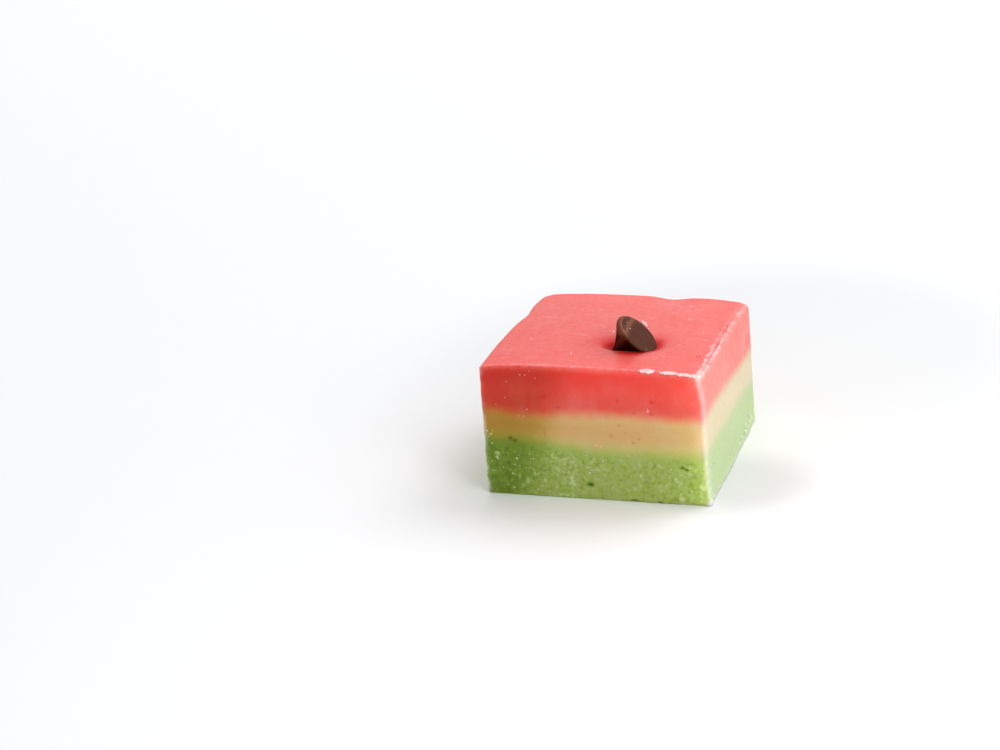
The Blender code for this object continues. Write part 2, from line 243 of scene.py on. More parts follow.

# Pits in the front face: place across, height, half width, half height, depth. The painted shade in the ones
# in the pink and cream layers is light, so they look shallow; in the ones in the green layer it follows their
# depth.
PINK_PITS = 11 * MM
CREAM_PITS = 8.3 * MM
FULL_PIT = 0.25 * MM
FRONT_PITS = tuple(
    tuple(size * MM for size in pit)
    for pit in (
        (-6.0, 13.95, 0.38, 0.17, 0.32),
        (-4.1, 12.45, 0.24, 0.1, 0.12),
        (8.3, 13.7, 0.26, 0.2, 0.25),
        (8.2, 12.1, 0.26, 0.12, 0.16),
        (3.85, 13.7, 0.1, 0.24, 0.12),
        (5.95, 12.1, 0.2, 0.1, 0.1),
        (3.85, 10.35, 0.26, 0.15, 0.16),
        (2.7, 8.85, 0.24, 0.2, 0.18),
        (6.35, 8.55, 0.24, 0.2, 0.18),
        (5.55, 8.05, 0.2, 0.13, 0.14),
        (4.6, 9.35, 0.15, 0.1, 0.08),
        (-6.1, 8.7, 0.14, 0.42, 0.1),
        (-6.2, 7.5, 0.2, 0.1, 0.12),
        (-10.85, 7.9, 0.3, 0.28, 0.26),
        (-10.25, 7.6, 0.26, 0.22, 0.26),
        (-0.45, 2.0, 0.4, 0.28, 0.45),
        (11.75, 4.9, 0.2, 0.18, 0.35),
        (12.25, 4.65, 0.22, 0.16, 0.35),
        (8.2, 5.0, 0.16, 0.24, 0.15),
        (3.6, 2.8, 0.26, 0.12, 0.15),
        (5.4, 0.1, 0.45, 0.26, 0.4),
        (8.6, 0.1, 0.4, 0.22, 0.35),
        (9.9, 0.05, 0.55, 0.16, 0.3),
    )
)

# Pale scuffs on the poured top: place, half length, half width, strength
TOP_SCUFFS = (
    (-10.5 * MM, 4.3 * MM, 1.2 * MM, 0.35 * MM, 0.3),
    (-4.1 * MM, -2.3 * MM, 1.0 * MM, 0.3 * MM, 0.25),
    (8.45 * MM, 5.42 * MM, 0.35 * MM, 0.28 * MM, 0.45),
    (10.05 * MM, 5.57 * MM, 0.3 * MM, 0.25 * MM, 0.5),
    (3.3 * MM, 5.1 * MM, 0.5 * MM, 0.2 * MM, 0.25),
    (7.23 * MM, 10.67 * MM, 0.45 * MM, 0.4 * MM, 0.35),
    (11.8 * MM, -1.4 * MM, 1.6 * MM, 0.16 * MM, 0.3),
    (9.8 * MM, -8.6 * MM, 1.5 * MM, 0.12 * MM, 0.25),
)

# Crumbs pushed up on the front top edge: middle and length of each along the edge, and how high it stands
FLAKES = (
    (7.92 * MM, 2.0 * MM, 0.52 * MM),
    (10.8 * MM, 2.1 * MM, 0.36 * MM),
    (12.6 * MM, 1.9 * MM, 0.3 * MM),
    (13.95 * MM, 1.4 * MM, 0.38 * MM),
    (14.5 * MM, 0.6 * MM, 0.3 * MM),
)

# Chip outline from its flat base to its tip: share of the length, and share of the radius
CHIP_OUTLINE = (
    (0.0, 0.84),
    (0.02, 0.91),
    (0.05, 0.96),
    (0.1, 0.945),
    (0.16, 0.88),
    (0.25, 0.765),
    (0.33, 0.67),
    (0.45, 0.555),
    (0.57, 0.44),
    (0.7, 0.33),
    (0.81, 0.215),
    (0.9, 0.125),
    (0.97, 0.045),
    (1.0, 0.0),
)
CHIP_BEND_START = 0.6
CHIP_ROWS = 96

# Crisp rim on the chip's near side: its radius and how far it reaches and rises, as shares
CRISP_RIM_RADIUS = 0.905
CRISP_RIM_REACH = 0.06
CRISP_RIM_RISE = 0.02

# Crease down the chip's near side, where it was squeezed: its turn round the chip at the base, and at the tip
CREASE_AT_BASE = math.radians(-113)
CREASE_AT_TIP = math.radians(-165)
CREASE_HOLLOW = 0.24
CREASE_RIDGE = 0.025
CREASE_RIDGE_WIDTH = math.radians(6)
HOLLOW_STARTS = (0.0, math.radians(16))
HOLLOW_ENDS = (math.radians(105), math.radians(60))

# Slight unevenness of the chip: the share that its sides swell, and how much its base waves
CHIP_SWELL = 0.012
CHIP_SWELL_SIZE = 1.5 * MM
CHIP_WAVE = 0.03 * MM
CHIP_WAVE_SIZE = 1.2 * MM

# Where the chip is rubbed: a scuff across its base, with its bend per metre; and painted highlights on the
# rim and the lit shoulder of its left side
SCUFF_PLACE = -1.87 * MM
SCUFF_WIDTH = 0.34 * MM
SCUFF_BEND = 16.7
SCUFF_BEND_FROM = 2.7 * MM
LEFT_SIDE_STARTS = (0.0, math.radians(-14))
LEFT_SIDE_ENDS = (math.radians(-105), math.radians(-62))
RIM_HIGHLIGHT_RADIUS = 2.93 * MM
RIM_HIGHLIGHT_WIDTH = 0.1 * MM
LIT_SHOULDER_RADIUS = (2.95 * MM, 3.1 * MM)
LIT_SHOULDER_HEIGHT = (19.75 * MM, 19.95 * MM)

# Where the chip's left side is in shade: past the crease, and below these heights
LOW_SHADE_STARTS = (math.radians(12), math.radians(-2))
LOW_SHADE_HEIGHT = (20.0 * MM, 19.75 * MM)

# White specks on the poured top, and on the chip's base in its own axes: place and half size, in millimetres
TOP_SPECKS = (
    (-3.47, -9.43, 0.2),
    (-10.62, -4.11, 0.1),
    (9.6, -4.13, 0.11),
    (8.69, -8.82, 0.08),
    (2.4, 3.6, 0.2),
    (2.65, 3.25, 0.27),
    (2.9, 2.85, 0.29),
    (3.2, 2.45, 0.25),
    (3.5, 2.0, 0.14),
    (3.95, 1.18, 0.09),
    (-0.26, -0.75, 0.26),
    (-7.02, 7.25, 0.07),
    (4.76, 7.72, 0.06),
    (-2.15, 1.08, 0.07),
    (11.41, 1.06, 0.08),
    (-11.86, -9.99, 0.08),
)
CHIP_SPECKS = ((-1.34, -0.49, 0.09), (-2.16, 0.12, 0.05), (1.96, -1.67, 0.06))

# Sugar grains that stand out on the front face: place across, height and half size, in millimetres
FRONT_GRAINS = (
    (-12.72, 5.72, 0.36),
    (-12.85, 5.2, 0.3),
    (-13.43, 7.09, 0.2),
    (10.87, 3.34, 0.28),
    (11.86, 3.67, 0.15),
    (12.32, 3.7, 0.16),
    (-2.89, 5.03, 0.24),
    (-2.49, 4.98, 0.18),
    (-3.95, 3.36, 0.24),
    (-0.45, 3.55, 0.28),
    (-0.16, 3.99, 0.17),
    (-10.9, 1.0, 0.22),
    (-6.0, 0.85, 0.16),
    (-5.97, 5.22, 0.2),
    (-6.28, 4.64, 0.14),
    (-10.88, 2.99, 0.16),
    (-8.9, 3.8, 0.13),
    (0.2, 5.4, 0.17),
    (13.96, 5.02, 0.15),
    (13.38, 4.03, 0.17),
    (4.9, 6.2, 0.14),
    (5.15, 2.04, 0.15),
    (3.13, 1.51, 0.14),
    (11.7, 1.03, 0.14),
    (12.44, 1.49, 0.13),
    (9.0, 4.9, 0.15),
    (7.73, 5.38, 0.13),
    (-13.6, 3.26, 0.14),
    (-14.25, 0.5, 0.16),
)

# Pale lumps near the foot of the right-hand face: place along, height and half size, in millimetres
RIGHT_LUMPS = (
    (10.16, 1.84, 0.52),
    (9.4, 1.6, 0.26),
    (7.43, 1.66, 0.44),
    (6.5, 1.25, 0.38),
    (4.16, 1.43, 0.32),
    (2.37, 1.18, 0.3),
    (0.86, 0.83, 0.16),
    (-3.3, 0.55, 0.28),
    (-4.1, 0.35, 0.24),
    (-6.5, 0.5, 0.15),
    (-8.27, 0.9, 0.14),
    (-9.48, 0.45, 0.2),
    (-11.5, 0.5, 0.22),
    (-12.9, 0.45, 0.26),
)

# Stray crumbs, in millimetres: cream ones at the left-hand edge, brown ones on the top and high on the
# right-hand face, and pink ones down the front
CREAM_CRUMBS = (
    (-13.98, 8.75, 0.2),
    (-13.45, 8.45, 0.22),
    (-13.2, 8.9, 0.12),
    (-13.76, 8.06, 0.12),
    (-14.1, 9.3, 0.12),
)
BROWN_CRUMBS = ((12.75, -7.35, 0.2), (13.05, -7.1, 0.12))
BROWN_SIDE_CRUMB = (-8.5, 16.75, 0.22)
PINK_CRUMBS = (
    (0.5, 7.35, 0.2),
    (0.8, 7.45, 0.16),
    (1.3, 7.3, 0.13),
    (7.81, 12.5, 0.2),
    (7.7, 12.75, 0.12),
    (-7.57, 17.3, 0.1),
    (-8.86, 16.79, 0.13),
    (-8.19, 16.75, 0.12),
    (-6.87, 16.39, 0.1),
    (-10.83, 15.76, 0.1),
    (-3.07, 15.25, 0.06),
    (-3.68, 14.34, 0.06),
    (-1.76, 14.07, 0.09),
    (-11.14, 13.54, 0.12),
    (-8.28, 12.07, 0.12),
    (-9.44, 11.05, 0.1),
    (-8.76, 11.08, 0.1),
    (-12.44, 12.58, 0.08),
    (13.33, 13.7, 0.1),
    (14.0, 13.87, 0.1),
    (13.7, 13.32, 0.12),
    (12.94, 13.55, 0.08),
    (8.6, 14.58, 0.07),
)

# Lumps of each kind: how far they are sunk, and how much longer, broader and thinner they are than their size
GRAIN_SINK = 0.6
GRAIN_SIZE = 0.17 * MM
GRAIN_SHARES = {(0, -1): 1.0, (-1, 0): 0.8, (0, 1): 0.8, (1, 0): 0.12}
GRAIN_FORM = (1.0, 0.85, 0.75)
FRONT_GRAIN_SINK = 0.55
FOOT_CRUMB_SINK = 0.35
FOOT_CRUMB_FORM = (1.1, 1.0, 0.9)
CRUMB_SINK = 0.4
CRUMB_FORM = (1.0, 0.8, 0.6)
SPECK_FORM = (1.0, 0.8, 0.5)
BROWN_FORM = (1.3, 0.7, 0.5)
SCATTERED_FORM = (1.0, 0.8, 0.65)
FLAKE_INSET = 0.3 * MM
FLAKE_SINK = 0.04 * MM
FLAKE_FORM = (0.52, 0.26 * MM, 0.62)

# Low crumbs along the inner ridge of the right-hand top edge
RIDGE_CRUMBS = 30
RIDGE_CRUMB_SIZE = 0.15 * MM
RIDGE_CRUMB_SINK = 0.1 * MM
RIDGE_START = -14 * MM
RIDGE_LENGTH = 19 * MM
RIDGE_INWARD = (0.5 * MM, 1.0 * MM)

# Finish of each layer: its roughness, how far red, green and blue travel inside it, and how far from the
# layer lines it glows fully, in millimetres
LAYER_FINISHES = {
    "pink_fudge": (0.42, (2.6, 0.5, 0.32), 2.2),
    "cream_fudge": (0.46, (1.8, 1.3, 0.7), 1.6),
    "green_fudge": (0.56, (1.7, 1.8, 0.5), 1.6),
}

# How softly the pink and the green layer blend into the cream one, in millimetres below and above the line
PINK_BLEND = (-1.1, 1.2)
GREEN_BLEND = (-1.5, 1.5)

# Tints of the cut front face: painted shade low in the pink, just over the pink line; painted light where
# light comes through; painted shade, with more of the last two over the green; and painted shade in the green
# layer's pits
LOW_PINK_SHADE_TINT = (0.925, 1.0, 1.0)
LIT_TINT = (1.25, 1.42, 1.25)
LIT_GREEN_TINT = (1.13, 1.0, 0.95)
SHADE_TINT = (0.77, 0.82, 0.25)
SHADE_GREEN_TINT = (0.86, 0.97, 0.85)
PIT_SHADE_TINT = (0.5, 1.0, 0.35)

# Studio: place, width and colour of each light, and where the surroundings are brightest
KEY_LIGHT = ((0.35, 0.40, 0.70), 0.5, (0.97, 0.99, 1.0))
FILL_LIGHT = ((0.078, -0.08, 0.056), 0.06, (1.0, 0.98, 0.96))
BACK_LIGHT = ((-0.15, 0.75, 0.45), 0.9, (1.0, 1.0, 1.0))
BRIGHT_SIDE = (0.6, 0.75, 0.3)
WHITE = (1.0, 1.0, 1.0)
BLACK = (0.0, 0.0, 0.0)
FLOOR_GREY = (0.8, 0.8, 0.8)

# Floor: its reach, and the painted shade behind the fudge and at its right, each with its outer and inner
# reach
FLOOR_REACH = 3.0
FLOOR_SHADE_BEHIND = ((8 * MM, 35 * MM, 0.0), 55 * MM, 30 * MM)
FLOOR_SHADE_RIGHT = ((17.5 * MM, -7 * MM, 0.0), 14 * MM, 4 * MM)

# The photograph's camera
CAMERA_PLACE = Vector((84.92 * MM, -270.6 * MM, 122.15 * MM))
CAMERA_AZIMUTH = math.radians(20.631)
CAMERA_ELEVATION = math.radians(21.098)
CAMERA_ROLL = math.radians(5.06)
CAMERA_LENS = 82.8
CAMERA_SENSOR = 36.0


def ease(low, high, value):
    """0 below low, 1 above high, and a smooth step between."""
    t = np.clip((value - low) / (high - low), 0.0, 1.0)
    return t * t * (3 - 2 * t)


def mix(a, b, share):
    return a + (b - a) * share


def hump(distance, reach):
    return np.exp(-((distance / reach) ** 2))


def curve_through(heights, t):
    """Smooth curve through evenly spaced heights, for t from -1 to 1."""
    points = np.array(heights)
    last = len(points) - 1
    place = (np.clip(t, -1, 1) + 1) / 2 * last
    k = np.clip(place.astype(int), 0, last - 1)
    part = place - k
    a, b = points[k], points[k + 1]
    before = points[np.maximum(k - 1, 0)]
    after = points[np.minimum(k + 2, last)]
    rise_a, rise_b = (b - before) / 2, (after - a) / 2
    p2, p3 = part**2, part**3
    return (
        (2 * p3 - 3 * p2 + 1) * a
        + (p3 - 2 * p2 + part) * rise_a
        + (3 * p2 - 2 * p3) * b
        + (p3 - p2) * rise_b
    )


def lattice(cells, seed):
    """A repeatable number from 0 to 1 for each whole-numbered cell."""
    n = cells.astype(np.int64)
    mixed = n[..., 0] * 374761393 + n[..., 1] * 668265263 + n[..., 2] * 1442695041 + seed * 69069
    mixed = ((mixed ^ (mixed >> 13)) * 1274126177) & 0x7FFFFFFF
    return ((mixed ^ (mixed >> 15)) & 0xFFFF) / 0xFFFF


def noise(points, size, seed):
    """Smooth noise from -1 to 1 with features of this size."""
    place = points / size
    cell = np.floor(place)
    part = place - cell
    part = part * part * (3 - 2 * part)
    total = np.zeros(len(points))
    for corner in np.ndindex(2, 2, 2):
        share = np.prod(np.where(np.array(corner) == 1, part, 1 - part), axis=1)
        total += share * lattice(cell + np.array(corner), seed)
    return total * 2 - 1


def bubbles(points, size, seed):
    """1 inside round bubbles, one to a cell of this size, and 0 outside them."""
    cell = np.floor(points / size)
    middle = np.stack([0.3 + 0.4 * lattice(cell, seed + k) for k in range(3)], axis=1)
    radius = 0.05 + 0.1 * lattice(cell, seed + 3)
    return ease(1.1, 0.5, np.linalg.norm(points / size - cell - middle, axis=1) / radius)


def pink_line(u, v):
    return curve_through(PINK_LINE_FRONT, u) + curve_through(PINK_LINE_DEEPER, v)


def green_line(u, v):
    return curve_through(GREEN_LINE_FRONT, u) + curve_through(GREEN_LINE_DEEPER, v)


def top_height(u, v):
    """The poured top, before the chip went in."""
    dip = DIP_DEPTH * hump(u * WIDTH / 2 - DIP_X, DIP_WIDTH) * hump((1 - v) * DEPTH / 2, DIP_REACH)
    return HEIGHT - TOP_FALL * (u + v) + CROWN * (1 - u**4) - dip


def hollow_depth(x, y):
    """How far the chip drew the top down at each point."""
    total = np.zeros_like(x)
    for offset, depth, reach in HOLLOWS:
        away = np.hypot(x - CHIP_CENTRE.x - offset.x, y - CHIP_CENTRE.y - offset.y)
        total += depth * hump(away, reach)
    return total


def edge_radius(u, v):
    """Rounding of the top edge: worn along the right-hand side."""
    worn = ease(0.6, 1.0, u) * ease(-1.0, -0.8, v) * (1 - 0.4 * ease(0.4, 1.0, v))
    return mix(EDGE_RADIUS, WORN_RADIUS, worn)


def plan(u, v, inset):
    """Points of the unit square laid on the block's plan, with round corners, and the way out from each."""
    x, y = u * (WIDTH / 2 - inset), v * (DEPTH / 2 - inset)
    side_x, side_y = np.where(u >= 0, 1, -1), np.where(v >= 0, 1, -1)
    radius = np.zeros_like(x)
    for (cx, cy), size in CORNER_RADIUS.items():
        radius[(side_x == cx) & (side_y == cy)] = size
    from_x = np.abs(x) - (WIDTH / 2 - inset - radius)
    from_y = np.abs(y) - (DEPTH / 2 - inset - radius)
    corner = (from_x > 0) & (from_y > 0)
    a, b = np.where(corner, from_x / radius, 0.0), np.where(corner, from_y / radius, 0.0)
    round_a, round_b = a * np.sqrt(1 - b * b / 2), b * np.sqrt(1 - a * a / 2)
    x = x + side_x * (round_a - a) * radius
    y = y + side_y * (round_b - b) * radius
    across = np.abs(u) >= np.abs(v)
    out_x = np.where(corner, side_x * round_a, np.where(across, side_x, 0.0))
    out_y = np.where(corner, side_y * round_b, np.where(across, 0.0, side_y))
    size = np.maximum(np.hypot(out_x, out_y), 1e-9)
    return x, y, out_x / size, out_y / size


def bows(u, v, z):
    """How far the cuts bow out at these places of the block: to the right, to the left and to the front."""
    right = RIGHT_BOW * ease(*RIGHT_BOW_ALONG, v) * ease(*RIGHT_BOW_HEIGHT, z)
    right = right + RIGHT_SPREAD * ease(*RIGHT_SPREAD_ALONG, v) * ease(*RIGHT_SPREAD_HEIGHT, z)
    right = right * ease(*RIGHT_BOW_ACROSS, u)
    along = LEFT_BOW * ease(*LEFT_BOW_FRONT, v) * ease(*LEFT_BOW_BACK, v)
    along = along - LEFT_DENT * hump(v - LEFT_DENT_ALONG, LEFT_DENT_REACH)
    left = along * ease(*LEFT_BOW_ACROSS, u) * ease(*LEFT_BOW_HEIGHT, z)
    front = FRONT_BOW * (1 - u * u) * ease(*FRONT_BOW_HEIGHT, z)
    front = front + FRONT_SPREAD * ease(*FRONT_SPREAD_ACROSS, u) * ease(*FRONT_SPREAD_HEIGHT, z)
    return right, left, front * ease(*FRONT_BOW_ALONG, v)


def leaning(points):
    """The square with its skewed cuts, its slight taper and its bows."""
    x, y, z = points.T
    right, left, front = bows(x / (WIDTH / 2), y / (DEPTH / 2), z)
    x = x * (1 - TAPER * z / HEIGHT)
    return np.stack([x + right - left, y + SKEW * x - front, z], axis=1)


def wall_points(u, v, z):
    """Plain cut face at these heights, and which way it faces."""
    radius = edge_radius(u, v)
    above = np.clip(z - (top_height(u, v) - radius), 0.0, radius)
    foot = mix(FOOT_RADIUS, 0.3 * FOOT_RADIUS, ease(0.9, 1.0, u))
    below = np.clip(foot - z, 0.0, foot)
    inset = radius - np.sqrt(radius**2 - above**2) + foot - np.sqrt(foot**2 - below**2)
    x, y, out_x, out_y = plan(u, v, inset)
    up = above / radius
    flat = np.sqrt(np.maximum(1 - up**2, 0.0))
    return np.stack([x, y, z], axis=1), np.stack([out_x * flat, out_y * flat, up], axis=1)


def top_points(u, v):
    """Poured top and which way it faces."""
    x, y, _, _ = plan(u, v, edge_radius(u, v))
    z = top_height(u, v) - hollow_depth(x, y)
    return np.stack([x, y, z], axis=1), np.tile((0.0, 0.0, 1.0), (len(x), 1))


class Marks:
    """What the finish needs to know of each point: whether it is pale; its painted sheen, painted deeper
    colour, painted shade and painted light through it; and whether it is grainy, crumbly, cut at the front or
    smoothly poured."""

    NAMES = ("pale", "painted_sheen", "deep", "shade", "lit", "grain", "crumbly", "cut_front", "poured")

    def __init__(self, count):
        for name in self.NAMES:
            setattr(self, name, np.zeros(count))


class Skin:
    """Points of the block's skin: where they are, which face they are on, how far they stand out, and their
    marks."""

    def __init__(self, points, faces_way):
        self.points = points
        self.x, self.y, self.z = points.T
        self.u, self.v = self.x / (WIDTH / 2), self.y / (DEPTH / 2)
        self.depth = top_height(self.u, self.v) - self.z
        self.to_right, self.to_left = WIDTH / 2 - self.x, WIDTH / 2 + self.x
        self.to_front = DEPTH / 2 + self.y
        self.cut = 1 - ease(0.5, 0.95, faces_way[:, 2])
        self.front = ease(0.5, 0.9, -faces_way[:, 1])
        self.back = ease(0.5, 0.9, faces_way[:, 1])
        self.right = ease(0.5, 0.9, faces_way[:, 0])
        self.over_pink = ease(-LINE_BLEND, LINE_BLEND, self.z - pink_line(self.u, self.v))
        self.over_green = ease(-LINE_BLEND, LINE_BLEND, self.z - green_line(self.u, self.v))
        self.coarse, self.fine = self.noise(COARSE_GRAIN, 30), self.noise(FINE_GRAIN, 31)
        self.rough = self.coarse + 0.6 * self.fine
        self.out = self.waves(WAVES)
        self.marks = Marks(len(points))
        self.marks.poured = 1 - self.cut

    def noise(self, size, seed):
        return noise(self.points, size, seed)

    def waves(self, rows):
        """Sum of noises, each with a size, a height and a seed."""
        return sum(height * self.noise(size, seed) for size, height, seed in rows)


def crumble(skin):
    """Crumbly green faces, smoother at the right."""
    below = ease(*CRUMB_STARTS, green_line(skin.u, skin.v) - skin.z)
    patchy = 0.75 + 0.25 * skin.noise(CRUMB_PATCHES, 3)
    crumbly = skin.cut * below * patchy * (1 - 0.8 * skin.right)
    lumps = skin.waves(CRUMB_LUMPS) + 0.65 * skin.coarse + 0.55 * skin.fine
    holes = ease(0.66, 0.9, 0.7 * skin.noise(CRUMB_HOLES, 6) - 0.4 * skin.coarse)
    skin.out += crumbly * (CRUMB_HEIGHT * lumps - CRUMB_HOLE_DEPTH * holes)
    skin.marks.grain = crumbly * lumps * mix(0.8, 1.0, skin.front)
    skin.marks.crumbly = crumbly
    # Painted shade in the holes
    skin.marks.deep += 0.4 * crumbly * holes


def shade_front(skin):
    """Paints light and shade on the front face: deeper colour under its top edge where light shines through,
    shade at its left end and light through its right end.
    """
    band = skin.front * ease(*BAND_STARTS, skin.depth) * ease(*BAND_ENDS, skin.depth)
    skin.marks.deep += band * mix(0.22, 0.1, ease(*BAND_FADES, skin.x))
    past_edge = skin.x - SHADE_EDGE - SHADE_SLOPE * skin.z
    skin.marks.shade = skin.front * ease(SHADE_REACH, -SHADE_REACH, past_edge)
    lit = sum(hump(skin.to_right, reach) for reach in LIT_REACHES) / len(LIT_REACHES)
    skin.marks.lit = skin.front * lit * (1 - 0.8 * hump(skin.to_right, LIT_STOPS))
    skin.marks.cut_front = skin.front * skin.cut


def mark_cuts(skin):
    """Fine streaks left by the knife, pits in the front face, and small bubbles in the others, with painted
    shade in the pits and bubbles.
    """
    marks = skin.marks
    smooth = skin.cut * (1 - marks.crumbly)
    streak = noise(skin.points * STREAK_STRETCH, STREAK_SIZE, 7)
    streak = streak * ease(-0.1, 0.6, skin.noise(STREAK_PATCHES, 8))
    marks.pale += 0.04 * smooth * np.maximum(streak, 0)
    for px, pz, wide, high, depth in FRONT_PITS:
        here = skin.front * hump(np.hypot((skin.x - px) / wide, (skin.z - pz) / high), 1.0)
        skin.out -= 0.3 * depth * here
        deep = 0.55 if pz > PINK_PITS else 0.3 if pz > CREAM_PITS else min(1.5, depth / FULL_PIT)
        # Painted shade in the pit
        marks.deep += deep * here
    opened = smooth * (1 - skin.front) * (1 - 0.6 * skin.right) * bubbles(skin.points, BUBBLE_CELL, 80)
    skin.out -= BUBBLE_DEPTH * opened
    # Painted shade in the opened bubbles
    marks.deep += 0.4 * opened


def mark_top(skin):
    """Scuffs on the poured top, and painted shade: darker towards the front, and a painted shadow where the
    chip presses in.
    """
    x, y, marks = skin.x, skin.y, skin.marks
    for sx, sy, long, wide, strength in TOP_SCUFFS:
        here = hump(np.hypot((x - sx) / long, (y - sy + SCUFF_SLANT * (x - sx)) / wide), 1.0)
        marks.pale += marks.poured * here * strength * (0.7 + 0.6 * skin.coarse)
    away = np.full(len(x), WIDTH)
    for (ax, ay), (bx, by) in zip(CHIP_CONTACT, CHIP_CONTACT[1:]):
        share = ((x - ax) * (bx - ax) + (y - ay) * (by - ay)) / ((bx - ax) ** 2 + (by - ay) ** 2)
        share = np.clip(share, 0, 1)
        away = np.minimum(away, np.hypot(x - mix(ax, bx, share), y - mix(ay, by, share)))
    deep = 0.02 + 0.1 * ease(*TOP_FRONT_SHADE, y)
    deep += 0.7 * hump(away, CHIP_CONTACT_SHADOW) + 0.6 * ease(*HOLLOW_SHADE, hollow_depth(x, y))
    for sx, sy, reach, strength in CHIP_SHADES:
        deep += strength * hump(np.hypot(x - sx, y - sy), reach)
    marks.deep += marks.poured * deep


def groove_right_edge(skin):
    """Groove along the right-hand top edge, with a torn ridge on either side of it and painted shade in the
    groove.
    """
    marks, y, rough = skin.marks, skin.y, skin.rough
    near = hump(np.hypot(skin.depth, skin.to_right), GROOVE_REACH) * (1 - 0.8 * skin.front) * (1 - skin.back)
    line = skin.depth - skin.to_right - mix(*GROOVE_PLACE, ease(*GROOVE_TURNS, y)) + skin.waves(GROOVE_WANDER)
    groove = hump(line, GROOVE_WIDTH) * near * ease(*GROOVE_STARTS, y) * ease(*GROOVE_ENDS, y)
    groove = groove * ease(-0.8, 0.1, skin.noise(GROOVE_GAPS, 33))
    skin.out -= GROOVE_DEPTH * groove
    # Painted shade in the groove
    marks.deep += 0.8 * groove
    inner = hump(line - INNER_RIDGE[0], INNER_RIDGE[1]) * mix(1.0, 0.3, ease(*INNER_RIDGE_FADES, y))
    outer = hump(line - OUTER_RIDGE[0], OUTER_RIDGE[1])
    torn = near * np.clip(0.6 + 0.5 * skin.noise(RIDGE_TEARS, 34) + 0.3 * rough, 0, 1.2)
    skin.out += RIDGE_HEIGHT * (inner + outer) * torn
    marks.pale += (inner + 0.55 * outer) * torn
    marks.pale += hump(line - RIDGE_HAZE[0], RIDGE_HAZE[1]) * near * (0.16 + 0.2 * rough)
    worn = hump(line, WORN_END_WIDTH) * near * ease(*WORN_END, y) * (1 - skin.front)
    marks.pale += worn * (0.3 + 0.3 * rough)


def line_front_edge(skin):
    """Fine pale line along the front top edge, and the worn band under it."""
    across = skin.depth - skin.to_front
    near = hump(np.hypot(skin.depth, skin.to_front), FRONT_EDGE_REACH) * ease(0.3, 0.5, -skin.v)
    line = hump(across + EDGE_RADIUS + skin.waves([FRONT_LINE_WANDER]), FRONT_LINE_WIDTH) * near
    skin.out += FRONT_LINE_HEIGHT * line
    skin.marks.pale += line * np.clip(0.4 + 1.1 * skin.noise(FRONT_LINE_GAPS, 40), 0, 1)
    skin.marks.pale += hump(across, FRONT_BAND_WIDTH) * near * (0.14 + 0.1 * skin.coarse)


def paint_sheen_right_face(skin):
    """Painted sheen on the right-hand face, for the glare of light across it, least in the pink and towards
    its back edge.
    """
    less = skin.over_pink * mix(0.15, 0.21, ease(*SHEEN_ALONG, skin.y)) + 0.05 * (1 - skin.over_green)
    skin.marks.painted_sheen = skin.right * (0.31 - less)
    along, high = (skin.y - BLOTCH_PLACE[0]) / BLOTCH_REACH[0], (skin.z - BLOTCH_PLACE[1]) / BLOTCH_REACH[1]
    blotch = hump(np.hypot(along, high), 1.0) * (0.1 + 0.3 * skin.noise(BLOTCH_GRAIN, 53))
    skin.marks.pale += skin.right * blotch


def drag_upright_edges(skin):
    """Upright edges of the front face, pale where the knife dragged; at the right-hand edge the pale is also
    a painted highlight and painted glow, where light catches the edge and shines through the corner.
    """
    marks = skin.marks
    wide = 1 + 0.12 * skin.noise(RIGHT_DRAG_WAVE, 50)
    corner = hump(np.hypot(skin.to_right / RIGHT_DRAG_AND_HIGHLIGHT[0], skin.to_front / RIGHT_DRAG_AND_HIGHLIGHT[1]), wide)
    skin.out += RIGHT_DRAG_ROUGH * corner * skin.rough
    marks.pale += corner * (mix(0.34, 0.42, skin.over_pink) + 0.15 * skin.coarse)
    # Pale haze by the right-hand edge: partly the pale dried edge, partly painted glow where light shines
    # through the corner
    haze_and_glow = mix(0.1, 0.3, skin.over_green) - 0.15 * skin.over_pink
    marks.pale += skin.front * hump(skin.to_right, RIGHT_HAZE_AND_GLOW) * haze_and_glow
    corner = hump(np.hypot(skin.to_left, skin.to_front), LEFT_DRAG)
    skin.out += LEFT_DRAG_ROUGH * corner * skin.rough
    marks.pale += corner * (0.15 + 0.4 * ease(-0.1, 0.6, skin.noise(LEFT_DRAG_PATCHES, 51)))


def squash_foot(skin):
    """Rough rim along the right-hand bottom edge, and the squashed foot at its front end."""
    rim = hump(np.hypot(skin.z, skin.to_right), RIM_REACH) * skin.right
    skin.out += rim * (RIM_ROUGH * skin.rough + skin.waves([RIM_LUMPS]))
    skin.marks.pale += rim * (0.2 + 0.15 * skin.rough)
    foot = ease(*FOOT_ACROSS, skin.u) * ease(*FOOT_ALONG, skin.v) * ease(0.0, FOOT_BAND, FOOT_BAND - skin.z)
    skin.out += foot * (FOOT_FLARE + FOOT_ROUGH * skin.rough)
    skin.marks.pale += foot * np.maximum(0.6 * skin.right, 0.7 * hump(skin.to_right, FOOT_PALE))


def relief(points, faces_way):
    """What the knife and the crumb did to the plain block, and the painted light and shade: how far each
    point stands out, and its marks.
    """
    skin = Skin(points, faces_way)
    crumble(skin)
    shade_front(skin)
    mark_cuts(skin)
    mark_top(skin)
    groove_right_edge(skin)
    line_front_edge(skin)
    paint_sheen_right_face(skin)
    drag_upright_edges(skin)
    squash_foot(skin)
    np.clip(skin.marks.pale, 0, 1, out=skin.marks.pale)
    np.clip(skin.marks.deep, 0, 2.2, out=skin.marks.deep)
    return skin.out, skin.marks


